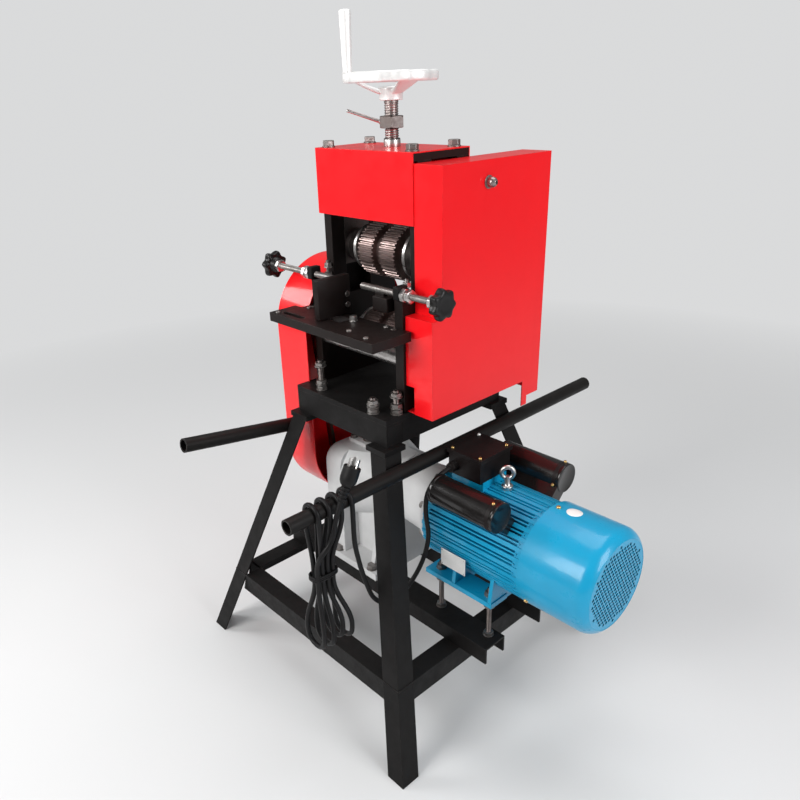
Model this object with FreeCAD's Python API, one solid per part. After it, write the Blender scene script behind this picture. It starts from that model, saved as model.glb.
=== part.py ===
import FreeCAD, Part
import math
import os

# Electric wire stripping machine: two toothed rollers between two thick plates on a
# splayed stand, driven by a geared motor, with a screw that lowers the upper roller.
# X runs along the roller shafts to the motor side, Y from the feed side to the rear,
# Z up from the floor. Sizes are in millimetres. The stand's middle is the modelling
# origin, and export() moves every piece so that the whole is centred along X and Y.

# Clearances
RUN_GAP = 0.3
SHAFT_GAP = 0.08
SEAT_GAP = 0.2
PAST = 1.0

# Stand
FOOT_OUT = 322.0
LEG_LEAN_X = 0.33
LEG_LEAN_Y = 0.27
LEG_FLANGE = 40.0
LEG_WALL = 4.0
BEAM_BOTTOM = 567.0
BEAM_HEIGHT = 45.0
BEAM_DEPTH = 40.0
BEAM_WALL = 5.0
BEAM_HALF_X = 131.0
BEAM_HALF_Y = 160.0
BASE_THICK = 10.0
CLIP_THICK = 10.0
CLIP_SIZE = 52.0
CLIP_MARGIN = 3.0

# Lower ring and the two rails that carry the drive
RING_BOTTOM = 120.0
RING_HEIGHT = 45.0
RING_FLANGE = 40.0
RING_WALL = 4.0
RING_OUT_X = 269.0
RING_OUT_Y = 278.0
RAIL_HEIGHT = 35.0
RAIL_WIDTH = 56.0
RAIL_WALL = 4.0
RAIL_MIDDLE_Y = 84.0
RAIL_END_X = 334.0

# Carrying poles
POLE_DIAMETER = 28.0
POLE_WALL = 3.0
POLE_DROP = 37.0
POLE_FRONT_Y = -412.0
POLE_REAR_Y = 432.0
HANDLE_END_Y = 409.0
HANDLE_START_Y = 150.0
HANDLE_START_Z = 522.0
HANDLE_RISE = 9.0

# Head: side plates, top plate, covers
DRIVE_Y = -4.0
PLATE_INSIDE_X = 106.0
PLATE_THICK = 20.0
PLATE_STEP_Z = 832.0
PLATE_STEP_FRONT_Y = -109.0
PLATE_STEP_REAR_Y = 96.0
PLATE_FRONT_Y = -68.0
PLATE_REAR_Y = 58.0
HEAD_TOP = 1069.0
TOP_THICK = 12.0
TOP_FRONT_Y = -78.0
SHEET = 2.0
FRONT_COVER_BOTTOM = 952.0
WINDOW_WIDTH = 64.0
WINDOW_ROOM = 34.0
COVER_OUT_X = 190.0
COVER_TOP = 1052.0
COVER_FRONT_Y = -78.0
COVER_REAR_Y = 209.0
COVER_STEP_Z = 803.0
COVER_LOWER_FRONT_Y = -103.0
COVER_TAIL_Y = 157.0
COVER_TAIL_BOTTOM = 588.0
COVER_TAB_BOTTOM = 569.0
COVER_TAB_WIDTH = 16.0
COVER_NOTCH_WIDTH = 20.0
COVER_NOTCH_TOP = 674.0
GUARD_OUT_X = -220.0
GUARD_RADIUS = 133.0
GUARD_UPPER_Z = 721.0
GUARD_LOWER_Z = 458.0

# Rollers and their drive
ROLLER_TIP_RADIUS = 51.0
ROLLER_TOOTH_HEIGHT = 3.6
ROLLER_TEETH = 40
ROLLER_TIP_SHARE = 0.34
ROLLER_ROOT_SHARE = 0.74
ROLLER_RING_WIDTH = 38.0
ROLLER_GROOVE = 20.0
ROLLER_GROOVE_RADIUS = 38.0
ROLLER_COLLAR_RADIUS = 17.0
ROLLER_COLLAR_LENGTH = 14.0
ROLLER_SHAFT_DIAMETER = 30.0
DRIVE_SHAFT_DIAMETER = 25.0
SPROCKET_HUB_RADIUS = 22.5
COUNTER_COLLAR_RADIUS = 18.5
LOWER_ROLLER_Z = 720.0
UPPER_ROLLER_Z = 884.0
FLANGE_RADIUS = 31.0
FLANGE_THICK = 9.0
GEAR_MODULE = 5.0
GEAR_ROOT_SHARE = 1.25
GEAR_TEETH = 34
GEAR_BACKLASH = 0.8
GEAR_WIDTH = 25.0
GEAR_START_X = 140.0
PRESSURE_ANGLE = 20.0
COUNTER_RISE = 134.0
TRANSFER_PITCH = 12.7
TRANSFER_TEETH = 17
TRANSFER_TOOTH_WIDTH = 7.0
TRANSFER_START_X = 172.0
MAIN_PITCH = 19.05
MAIN_SMALL_TEETH = 12
MAIN_LARGE_TEETH = 24
MAIN_TOOTH_WIDTH = 11.0
MAIN_START_X = -177.0
SPROCKET_TIP = 3.4
SPROCKET_ROOT = 4.6
SPROCKET_TIP_SHARE = 0.22
SPROCKET_ROOT_SHARE = 0.66
CHAIN_WALL = 1.6
CHAIN_SIDE_DEPTH = 6.0

# Crosshead, feed screw, handwheel
CROSSHEAD_BOTTOM = 949.0
CROSSHEAD_HEIGHT = 32.0
CROSSHEAD_BOSS_TOP = 1044.0
CROSSHEAD_BOSS_RADIUS = 26.0
BLOCK_HALF_HEIGHT = 34.0
SCREW_DIAMETER = 25.0
SCREW_FOOT_RADIUS = 18.0
SCREW_FOOT_THICK = 7.0
COLLAR_RADIUS = 20.0
COLLAR_THICK = 7.0
BUSH_RADIUS = 14.5
BUSH_HEIGHT = 14.0
LOCK_NUT_FLATS = 41.0
LOCK_NUT_BOTTOM = 1100.0
LOCK_NUT_HEIGHT = 20.0
NUT_ROOM = 0.5
LEVER_DIAMETER = 6.0
LEVER_LENGTH = 77.0
LEVER_TURN = 228.0
LEVER_TILT = 19.0
WHEEL_HUB_BOTTOM = 1145.0
WHEEL_HUB_RADIUS = 20.5
WHEEL_HUB_HEIGHT = 22.0
WHEEL_RIM_RADIUS = 84.0
WHEEL_RIM_WIDTH = 17.0
WHEEL_RIM_BOTTOM = 1174.0
WHEEL_RIM_HEIGHT = 17.0
WHEEL_LOBES = 12
WHEEL_LOBE_DEPTH = 2.2
WHEEL_SPOKES = 3
WHEEL_SPOKE_WIDTH = 20.0
WHEEL_SPOKE_THICK = 9.0
WHEEL_SPOKE_LAP = 4.0
GRIP_ANGLE = 227.0
GRIP_RADIUS = 74.0
GRIP_PIN_DIAMETER = 8.0
GRIP_HEIGHT = 95.0
GRIP_LOWER_DIAMETER = 16.0
GRIP_UPPER_DIAMETER = 21.0
GRIP_ROUNDING = 4.0
GRIP_PIN_SHORT = 10.0
GRIP_PIN_ROOM = 2.0

# Feed table and the two regulating screws
TABLE_HALF_X = 146.0
TABLE_FRONT_Y = -200.0
TABLE_TOP = 780.0
TABLE_THICK = 17.0
TABLE_GUARD_GAP = 5.0
TABLE_SLOT_LENGTH = 62.0
TABLE_SLOT_WIDTH = 11.0
TABLE_SLOT_X = -92.0
TABLE_SLOT_Y = -182.0
TABLE_WINDOW_X = -22.0
TABLE_WINDOW_Y = -140.0
TABLE_WINDOW_LENGTH = 62.0
TABLE_WINDOW_WIDTH = 30.0
TIE_DIAMETER = 29.0
TIE_Y = -91.0
TIE_Z = 716.0
GUIDE_Y = -107.0
GUIDE_RISE = 9.0
GUIDE_SCREW_DIAMETER = 12.0
GUIDE_NUT_FLATS = 22.0
GUIDE_NUT_THICK = 9.0
LUG_THICK = 14.0
LUG_HALF_DEPTH = 12.0
LUG_HEIGHT = 24.0
GUIDE_NUT_GAP = 3.0
GUIDE_SPACER_RADIUS = 9.0
GUIDE_ROD_INNER_X = 21.0
RIGHT_KNOB_X = 208.0
LEFT_KNOB_X = 243.0
KNOB_RADIUS = 28.0
KNOB_LOBE_DEPTH = 5.5
KNOB_LOBES = 7
KNOB_THICK = 17.0
KNOB_HUB_RADIUS = 15.0
KNOB_HUB_LENGTH = 8.0
GUIDE_BLOCK_INNER_X = 60.0
GUIDE_BLOCK_OUTER_X = 97.0
GUIDE_BLOCK_HEIGHT = 25.0
GUIDE_BLOCK_DROP = 10.0
GUIDE_EAR_WIDTH = 20.0
GUIDE_EAR_RADIUS = 12.0

# Gear reducer
MOTOR_AXIS_Z = 388.0
REDUCER_FRONT_X = -126.0
REDUCER_BOX_LENGTH = 48.0
REDUCER_HALF_WIDTH = 100.0
REDUCER_CORNER = 34.0
REDUCER_TOP = 463.0
REDUCER_CONE_START = 106.0
REDUCER_CONE_END = 78.0
REDUCER_CONE_END_X = 4.0
REDUCER_END_X = 35.0
REDUCER_FOOT_HALF_WIDTH = 112.0
REDUCER_FOOT_THICK = 16.0
REDUCER_PEDESTAL_HALF_WIDTH = 58.0
REDUCER_RIB_THICK = 12.0
REDUCER_RIB_SETBACK = 20.0
REDUCER_RIB_MARGIN = 10.0
REDUCER_FOOT_SETBACK = 5.0
REDUCER_LAP = 2.0
REDUCER_LID_THICK = 8.0
REDUCER_LID_HALF_WIDTH = 44.0
REDUCER_LID_START_X = -112.0
REDUCER_LID_LENGTH = 84.0
ADAPTER_RADIUS = 66.0
ADAPTER_FLANGE_RADIUS = 88.0
ADAPTER_FLANGE_THICK = 12.0
ADAPTER_TAPER = 8.0
OUTPUT_SHAFT_DIAMETER = 28.0
OUTPUT_SHAFT_DEPTH = 40.0
SHAFT_END_GAP = 1.0

# Motor
MOTOR_START_X = 157.0
MOTOR_BODY_LENGTH = 228.0
MOTOR_CORE_RADIUS = 80.0
MOTOR_FIN_RADIUS = 95.0
MOTOR_FINS = 32
MOTOR_FIN_SHARE = 0.42
MOTOR_RING_WIDTH = 14.0
COWL_RADIUS = 95.0
COWL_LENGTH = 136.0
COWL_EDGE = 12.0
COWL_HOLE_SIZE = 7.6
COWL_HOLE_PITCH = 11.8
COWL_HOLE_RINGS = 6
MOTOR_SHAFT_DIAMETER = 24.0
MOTOR_SHAFT_DEPTH = 60.0
FAN_RADIUS = 78.0
FAN_HUB_RADIUS = 22.0
FAN_BLADES = 6
FAN_BLADE_THICK = 3.0
FAN_START_GAP = 12.0
FAN_WIDTH = 44.0
MOTOR_FOOT_BOTTOM = 283.0
MOTOR_FOOT_THICK = 10.0
MOTOR_FOOT_HALF_WIDTH = 92.0
MOTOR_FOOT_START_X = 165.0
MOTOR_FOOT_LENGTH = 165.0
MOTOR_FOOT_BOLT_Y = 70.0
MOTOR_FOOT_BOLTS_X = (187.0, 309.0)
MOTOR_FOOT_RIBS_X = (232.0, 320.0)
MOTOR_FOOT_RIB_THICK = 8.0
MOTOR_FOOT_RIB_TAPER = 12.0
MOTOR_FOOT_RIB_TOP = 366.0
MOTOR_FOOT_PAD_WIDTH = 47.0
STUD_DIAMETER = 10.0
STUD_NUT_FLATS = 17.0
STUD_NUT_THICK = 8.0
TERMINAL_START_X = 179.5
TERMINAL_LENGTH = 76.5
TERMINAL_HALF_WIDTH = 43.0
TERMINAL_BOTTOM = 496.0
TERMINAL_TOP = 546.0
TERMINAL_LID_THICK = 8.0
TERMINAL_LID_LIP = 3.0
TERMINAL_NECK_HALF_WIDTH = 34.0
GLAND_RADIUS = 9.0
GLAND_LENGTH = 16.0
GLAND_X = 196.0
GLAND_Z = 515.0
CAPACITOR_RADIUS = 28.0
CAPACITOR_START_X = 202.0
CAPACITOR_LENGTH = 145.0
CAPACITOR_Y = 97.0
CAPACITOR_Z = 489.0
CAPACITOR_SADDLE_WIDTH = 30.0
CAPACITOR_SADDLE_SHARE = 0.5
EYE_X = 285.0
EYE_RING_RADIUS = 9.5
EYE_WIRE_RADIUS = 4.0
EYE_COLLAR_RADIUS = 11.0
EYE_COLLAR_THICK = 8.0
EYE_NECK_RADIUS = 6.0
EYE_NECK_LENGTH = 16.0
EYE_TURN = 40.0

# Fasteners that show as solid pieces
HEAD_BOLT_X = 108.0
HEAD_BOLTS_Y = (-62.0, 40.0)
HEAD_BOLT_FLATS = 19.0
HEAD_BOLT_THICK = 12.0
BASE_STUD_DIAMETER = 12.0
BASE_STUD_FLATS = 19.0
BASE_STUD_NUT_THICK = 9.0
BASE_STUD_WASHER = 2.0
BASE_STUD_TIP = 4.5
BASE_STUDS = ((-76.0, -140.0, 62.0), (118.0, -121.5, 46.0), (84.0, -148.0, 30.0), (-76.0, 140.0, 46.0),
              (114.0, 140.0, 46.0))
ACORN_RADIUS = 9.0
ACORN_Y = 35.0
ACORN_Z = 1016.0

# Supply cord, hank and plug
CORD_DIAMETER = 9.0
CORD_BEND_SHARE = 0.45
HANK_LOOPS = 4
HANK_TOP_Y = -325.0
HANK_WAIST_Y = -343.0
HANK_BOTTOM_Y = -340.0
HANK_TOP_PITCH = 24.0
HANK_WAIST_PITCH = 11.0
HANK_BOTTOM_PITCH = 21.0
HANK_DROPS = (6.0, -4.0, 3.0, -2.0)
HANK_WAIST_Z = 409.0
HANK_WAIST_LENGTH = 16.0
HANK_WAIST_HALF = 8.5
HANK_BOTTOM_Z = 288.0
HANK_BOTTOM_RADIUS = 24.0
HANK_START_DROP = 46.0
HANK_END_Z = 418.0
TIE_BAND = 2.0
TIE_HALF_HEIGHT = 5.0
SUPPLY_ROUTE = ((194.5, -92.0, 511.0), (192.0, -121.0, 486.0), (191.0, -124.0, 440.0),
                (191.0, -112.0, 385.0), (188.0, -130.0, 330.0), (181.0, -166.0, 286.0),
                (172.0, -206.0, 266.0), (167.0, -240.0, 296.0), (168.0, -256.0, 342.0),
                (172.0, -271.0, 387.0), (179.0, -284.0, 430.0))
HANK_ENTRY_LENGTH = 30.0
LEAD_ROUTE = ((184.0, -364.0, 462.0), (191.0, -342.0, 488.0), (190.0, -333.0, 527.0))
LEAD_START_LENGTH = 18.0
PLUG_BODY_RADIUS = 15.0
PLUG_BODY_LENGTH = 34.0
PLUG_RELIEF_LENGTH = 26.0
PLUG_RELIEF_RADIUS = 8.0
PLUG_BASE = (192.0, -321.0, 554.0)
PLUG_PIN_LENGTH = 15.0
PLUG_PIN_WIDTH = 6.0
PLUG_PIN_THICK = 1.6
PLUG_PIN_OFFSET = 8.0
PLUG_RIBS = 4
PLUG_RIB_DEPTH = 2.0
PLUG_SHOULDER = 14.0
PLUG_NECK = 3.0

CORD_RADIUS = CORD_DIAMETER / 2
RING_TOP = RING_BOTTOM + RING_HEIGHT
RAIL_TOP = RING_TOP + RAIL_HEIGHT
BEAM_TOP = BEAM_BOTTOM + BEAM_HEIGHT
BASE_TOP = BEAM_TOP + BASE_THICK
LEG_TOP = BEAM_BOTTOM - CLIP_THICK
PLATE_OUTSIDE_X = PLATE_INSIDE_X + PLATE_THICK
SHEET_BOTTOM = HEAD_TOP - SHEET
PLATE_TOP = SHEET_BOTTOM - TOP_THICK
POLE_RADIUS = POLE_DIAMETER / 2
POLE_HEIGHT = BEAM_BOTTOM - POLE_DROP
COUNTER_Z = LOWER_ROLLER_Z + COUNTER_RISE
GUIDE_Z = PLATE_STEP_Z + GUIDE_RISE
GUIDE_BLOCK_TOP = GUIDE_Z - GUIDE_BLOCK_DROP
GUIDE_BLOCK_BOTTOM = GUIDE_BLOCK_TOP - GUIDE_BLOCK_HEIGHT
LUG_INSIDE_X = PLATE_OUTSIDE_X + RUN_GAP - LUG_THICK
MOTOR_END_X = MOTOR_START_X + MOTOR_BODY_LENGTH
COWL_END_X = MOTOR_END_X + COWL_LENGTH
MIDDLE_X = (COWL_END_X - FOOT_OUT) / 2
MIDDLE_Y = (POLE_REAR_Y + POLE_FRONT_Y) / 2
GEAR_PITCH_RADIUS = GEAR_TEETH * GEAR_MODULE / 2
ROLLER_TRAVEL = WHEEL_HUB_BOTTOM - LOCK_NUT_BOTTOM - LOCK_NUT_HEIGHT - NUT_ROOM
COUNTER_Y = DRIVE_Y + math.sqrt((2 * GEAR_PITCH_RADIUS) ** 2 - (COUNTER_Z - LOWER_ROLLER_Z) ** 2)
RIGHT = 1
LEFT = -1

os.makedirs("parts", exist_ok=True)


def vec(x, y, z):
    return FreeCAD.Vector(x, y, z)


def export(node, *solids):
    shape = solids[0] if len(solids) == 1 else Part.makeCompound(list(solids))
    placed = shape.copy()
    placed.translate(vec(-MIDDLE_X, -MIDDLE_Y, 0))
    placed.exportStep(os.path.join("parts", node + ".step"))


def box(x0, x1, y0, y1, z0, z1):
    low = vec(min(x0, x1), min(y0, y1), min(z0, z1))
    return Part.makeBox(abs(x1 - x0), abs(y1 - y0), abs(z1 - z0), low)


def rod_x(x0, x1, y, z, radius):
    return Part.makeCylinder(radius, abs(x1 - x0), vec(min(x0, x1), y, z), vec(1, 0, 0))


def rod_z(x, y, z0, z1, radius):
    return Part.makeCylinder(radius, z1 - z0, vec(x, y, z0), vec(0, 0, 1))


def prism_x(outline, x0, x1):
    """Extrude an outline of (y, z) points from x0 to x1."""
    points = [vec(x0, y, z) for y, z in outline]
    face = Part.Face(Part.makePolygon(points + [points[0]]))
    return face.extrude(vec(x1 - x0, 0, 0))


def prism_z(outline, z0, z1):
    """Extrude an outline of (x, y) points from z0 to z1."""
    points = [vec(x, y, z0) for x, y in outline]
    face = Part.Face(Part.makePolygon(points + [points[0]]))
    return face.extrude(vec(0, 0, z1 - z0))


def hexagon(flats):
    radius = flats / math.sqrt(3)
    return [(radius * math.cos(a), radius * math.sin(a)) for a in
            (math.radians(60 * corner) for corner in range(6))]


def hex_z(x, y, z0, z1, flats):
    return prism_z([(x + u, y + v) for u, v in hexagon(flats)], z0, z1)


def hex_x(x0, x1, y, z, flats):
    return prism_x([(y + u, z + v) for u, v in hexagon(flats)], x0, x1)


def joined(first, *others):
    shape = first
    for other in others:
        shape = shape.fuse(other)
    return shape.removeSplitter()


def revolved_x(profile, y, z):
    """Turn a profile of (x, radius) points about the axis along X through y, z."""
    points = [vec(x, y, z + radius) for x, radius in profile]
    face = Part.Face(Part.makePolygon(points + [points[0]]))
    return face.revolve(vec(0, y, z), vec(1, 0, 0), 360)


def revolved_z(profile, x, y):
    """Turn a profile of (radius, z) points about the axis along Z through x, y."""
    points = [vec(x + radius, y, z) for radius, z in profile]
    face = Part.Face(Part.makePolygon(points + [points[0]]))
    return face.revolve(vec(x, y, 0), vec(0, 0, 1), 360)


def toothed_disc(teeth, tip_radius, root_radius, tip_share, root_share, x0, x1, y, z, phase=0.0):
    """A disc with straight-sided teeth: the shares are tooth widths over the pitch."""
    step = 2 * math.pi / teeth
    outline = []
    for tooth in range(teeth):
        middle = phase + tooth * step
        for radius, offset in ((root_radius, -root_share), (tip_radius, -tip_share),
                               (tip_radius, tip_share), (root_radius, root_share)):
            angle = middle + offset * step / 2
            outline.append((y + radius * math.cos(angle), z + radius * math.sin(angle)))
    return prism_x(outline, x0, x1)


def spur_gear(x0, x1, y, z, phase):
    """A spur gear whose flanks follow the involute at four radii."""
    pitch_radius = GEAR_PITCH_RADIUS
    base_radius = pitch_radius * math.cos(math.radians(PRESSURE_ANGLE))
    root_radius = pitch_radius - GEAR_ROOT_SHARE * GEAR_MODULE
    tip_radius = pitch_radius + GEAR_MODULE

    def involute(radius):
        pressure = math.acos(min(1.0, base_radius / radius))
        return math.tan(pressure) - pressure

    at_pitch = math.pi / (2 * GEAR_TEETH) - GEAR_BACKLASH / (2 * pitch_radius) + involute(pitch_radius)
    flank = [(root_radius, at_pitch)]
    for radius in (base_radius, pitch_radius, tip_radius):
        flank.append((radius, at_pitch - involute(radius)))
    outline = []
    for tooth in range(GEAR_TEETH):
        middle = phase + 2 * math.pi * tooth / GEAR_TEETH
        for radius, half in flank:
            outline.append((y + radius * math.cos(middle - half), z + radius * math.sin(middle - half)))
        for radius, half in reversed(flank):
            outline.append((y + radius * math.cos(middle + half), z + radius * math.sin(middle + half)))
    return prism_x(outline, x0, x1)


def pitch_radius_of(pitch, teeth):
    return pitch / (2 * math.sin(math.pi / teeth))


def sprocket(pitch, teeth, width, x0, y, z):
    radius = pitch_radius_of(pitch, teeth)
    return toothed_disc(teeth, radius + SPROCKET_TIP, radius - SPROCKET_ROOT, SPROCKET_TIP_SHARE,
                        SPROCKET_ROOT_SHARE, x0, x0 + width, y, z)


def belt(first, second, x0, x1):
    """The solid within a belt round two circles, each (y, z, radius)."""
    y1, z1, r1 = first
    y2, z2, r2 = second
    along = math.atan2(z2 - z1, y2 - y1)
    spread = math.acos((r1 - r2) / math.hypot(y2 - y1, z2 - z1))

    def on(circle, angle):
        y, z, radius = circle
        return vec(x0, y + radius * math.cos(angle), z + radius * math.sin(angle))

    edges = [
        Part.LineSegment(on(first, along + spread), on(second, along + spread)).toShape(),
        Part.Arc(on(second, along + spread), on(second, along), on(second, along - spread)).toShape(),
        Part.LineSegment(on(second, along - spread), on(first, along - spread)).toShape(),
        Part.Arc(on(first, along - spread), on(first, along + math.pi), on(first, along + spread)).toShape(),
    ]
    return Part.Face(Part.Wire(edges)).extrude(vec(x1 - x0, 0, 0))


def chain(pitch, teeth1, y1, z1, teeth2, y2, z2, width, x0):
    """A closed chain as a channel round two sprockets, clear of their teeth."""
    r1 = pitch_radius_of(pitch, teeth1)
    r2 = pitch_radius_of(pitch, teeth2)
    web = SPROCKET_TIP + 2 * RUN_GAP

    def around(offset, low, high):
        return belt((y1, z1, r1 + offset), (y2, z2, r2 + offset), low, high)

    low = x0 - RUN_GAP - CHAIN_WALL
    high = x0 + width + RUN_GAP + CHAIN_WALL
    shell = around(web + CHAIN_WALL, low, high)
    shell = shell.cut(around(web - CHAIN_SIDE_DEPTH, low - PAST, high + PAST))
    return shell.cut(around(web, x0 - RUN_GAP, x0 + width + RUN_GAP))


def leg_point(side_x, side_y, z):
    return side_x * (FOOT_OUT - LEG_LEAN_X * z), side_y * (FOOT_OUT - LEG_LEAN_Y * z)


def leaning(outline, side_x, side_y, z0, z1):
    """Extrude a foot outline, given inward from the outer corner, along the leg's lean."""
    corner_x, corner_y = leg_point(side_x, side_y, z0)
    points = [vec(corner_x - side_x * u, corner_y - side_y * v, z0) for u, v in outline]
    rise = z1 - z0
    lean = vec(-side_x * LEG_LEAN_X * rise, -side_y * LEG_LEAN_Y * rise, rise)
    return Part.Face(Part.makePolygon(points + [points[0]])).extrude(lean)


def leg(side_x, side_y):
    """One leg of angle iron with the clip on its top that the base beams rest on."""
    angle = [(0, 0), (LEG_FLANGE, 0), (LEG_FLANGE, LEG_WALL), (LEG_WALL, LEG_WALL),
             (LEG_WALL, LEG_FLANGE), (0, LEG_FLANGE)]
    return joined(leaning(angle, side_x, side_y, 0, LEG_TOP), leg_clip(side_x, side_y))


def leg_clip(side_x, side_y):
    top_x, top_y = leg_point(side_x, side_y, LEG_TOP)
    clip_x = top_x + side_x * CLIP_MARGIN
    clip_y = top_y + side_y * CLIP_MARGIN
    return box(clip_x, clip_x - side_x * CLIP_SIZE, clip_y, clip_y - side_y * CLIP_SIZE,
               LEG_TOP, BEAM_BOTTOM)


def leg_envelope(side_x, side_y):
    square = [(0, 0), (LEG_FLANGE, 0), (LEG_FLANGE, LEG_FLANGE), (0, LEG_FLANGE)]
    return leaning(square, side_x, side_y, 0, LEG_TOP)


def make_stand():
    for name_y, side_y in (("front", -1), ("rear", 1)):
        for name_x, side_x in (("left", LEFT), ("right", RIGHT)):
            export("leg_" + name_y + "_" + name_x, leg(side_x, side_y))
    taken = [leg_envelope(sx, sy) for sx in (LEFT, RIGHT) for sy in (-1, 1)]
    for name, side in (("front", -1), ("rear", 1)):
        outer = side * RING_OUT_Y
        bar = joined(
            box(-RING_OUT_X, RING_OUT_X, outer, outer - side * RING_WALL, RING_BOTTOM, RING_TOP),
            box(-RING_OUT_X, RING_OUT_X, outer, outer - side * RING_FLANGE, RING_TOP - RING_WALL, RING_TOP))
        for solid in taken[:4]:
            bar = bar.cut(solid)
        taken.append(largest(bar))
        export("ring_" + name, taken[-1])
    for name, side in (("left", LEFT), ("right", RIGHT)):
        outer = side * RING_OUT_X
        bar = joined(
            box(outer, outer - side * RING_WALL, -RING_OUT_Y, RING_OUT_Y, RING_BOTTOM, RING_TOP),
            box(outer, outer - side * RING_FLANGE, -RING_OUT_Y, RING_OUT_Y, RING_TOP - RING_WALL, RING_TOP))
        for solid in taken:
            bar = bar.cut(solid)
        export("ring_" + name, largest(bar))
    for name, side in (("front", -1), ("rear", 1)):
        middle = side * RAIL_MIDDLE_Y
        rail = box(-RING_OUT_X, RAIL_END_X, middle - RAIL_WIDTH / 2, middle + RAIL_WIDTH / 2,
                   RING_TOP, RAIL_TOP)
        hollow = box(-RING_OUT_X - PAST, RAIL_END_X + PAST, middle - RAIL_WIDTH / 2 + RAIL_WALL,
                     middle + RAIL_WIDTH / 2 - RAIL_WALL, RING_TOP - PAST, RAIL_TOP - RAIL_WALL)
        export("rail_" + name, rail.cut(hollow))


def largest(shape):
    return max(shape.Solids, key=lambda solid: solid.Volume)


def make_base():
    for name, side in (("front", -1), ("rear", 1)):
        outer = side * BEAM_HALF_Y
        inner = outer - side * BEAM_DEPTH
        beam = box(-BEAM_HALF_X, BEAM_HALF_X, outer, inner, BEAM_BOTTOM, BEAM_TOP)
        hollow = box(-BEAM_HALF_X - PAST, BEAM_HALF_X + PAST, outer - side * BEAM_WALL, inner - side * PAST,
                     BEAM_BOTTOM + BEAM_WALL, BEAM_TOP - BEAM_WALL)
        export("beam_" + name, beam.cut(hollow))
    end = BEAM_HALF_Y - BEAM_DEPTH
    for name, side in (("left", LEFT), ("right", RIGHT)):
        outer = side * BEAM_HALF_X
        inner = outer - side * BEAM_DEPTH
        beam = box(outer, inner, -end, end, BEAM_BOTTOM, BEAM_TOP)
        hollow = box(outer - side * BEAM_WALL, inner - side * PAST, -end - PAST, end + PAST,
                     BEAM_BOTTOM + BEAM_WALL, BEAM_TOP - BEAM_WALL)
        export("beam_" + name, beam.cut(hollow))
    export("base_plate", box(-BEAM_HALF_X, BEAM_HALF_X, -BEAM_HALF_Y, BEAM_HALF_Y, BEAM_TOP, BASE_TOP))


def pipe(start, end):
    axis = end - start
    outer = Part.makeCylinder(POLE_RADIUS, axis.Length, start, axis)
    return outer.cut(Part.makeCylinder(POLE_RADIUS - POLE_WALL, axis.Length, start, axis))


def beside_leg(z):
    """How far out a round bar's middle lies when it touches the legs' outer sides."""
    return FOOT_OUT - LEG_LEAN_X * z + POLE_RADIUS * math.hypot(1, LEG_LEAN_X)


def make_poles():
    pole_x = beside_leg(POLE_HEIGHT)
    export("pole_right", pipe(vec(pole_x, POLE_FRONT_Y, POLE_HEIGHT),
                              vec(pole_x, POLE_REAR_Y, POLE_HEIGHT)))
    handle_x = -beside_leg(HANDLE_START_Z)
    rise = (HANDLE_END_Y - HANDLE_START_Y) * math.tan(math.radians(HANDLE_RISE))
    for name, side in (("front", -1), ("rear", 1)):
        export("handle_" + name, pipe(vec(handle_x, side * HANDLE_START_Y, HANDLE_START_Z),
                                      vec(handle_x, side * HANDLE_END_Y, HANDLE_START_Z + rise)))


def make_side_plates():
    outline = [(PLATE_STEP_FRONT_Y, BASE_TOP), (PLATE_STEP_REAR_Y, BASE_TOP),
               (PLATE_STEP_REAR_Y, PLATE_STEP_Z), (PLATE_REAR_Y, PLATE_STEP_Z),
               (PLATE_REAR_Y, PLATE_TOP), (PLATE_FRONT_Y, PLATE_TOP),
               (PLATE_FRONT_Y, PLATE_STEP_Z), (PLATE_STEP_FRONT_Y, PLATE_STEP_Z)]
    window_bottom = UPPER_ROLLER_Z - ROLLER_TRAVEL - BLOCK_HALF_HEIGHT - WINDOW_ROOM
    for name, side in (("left", LEFT), ("right", RIGHT)):
        inside = side * PLATE_INSIDE_X
        outside = side * PLATE_OUTSIDE_X
        plate = prism_x(outline, inside, outside)
        if side == RIGHT:
            lug_radius = DRIVE_SHAFT_DIAMETER / 2 + PLATE_THICK
            plate = joined(plate, rod_x(inside, outside, COUNTER_Y, COUNTER_Z, lug_radius),
                           box(inside, outside, PLATE_REAR_Y, COUNTER_Y, COUNTER_Z - lug_radius,
                               COUNTER_Z + lug_radius))
            plate = plate.cut(rod_x(inside, outside, COUNTER_Y, COUNTER_Z,
                                    DRIVE_SHAFT_DIAMETER / 2 + SHAFT_GAP))
        window = box(inside, outside, DRIVE_Y - WINDOW_WIDTH / 2, DRIVE_Y + WINDOW_WIDTH / 2,
                     window_bottom, PLATE_TOP)
        bore = rod_x(inside, outside, DRIVE_Y, LOWER_ROLLER_Z, ROLLER_SHAFT_DIAMETER / 2 + SHAFT_GAP)
        export("side_plate_" + name, plate.cut(window).cut(bore))


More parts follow.
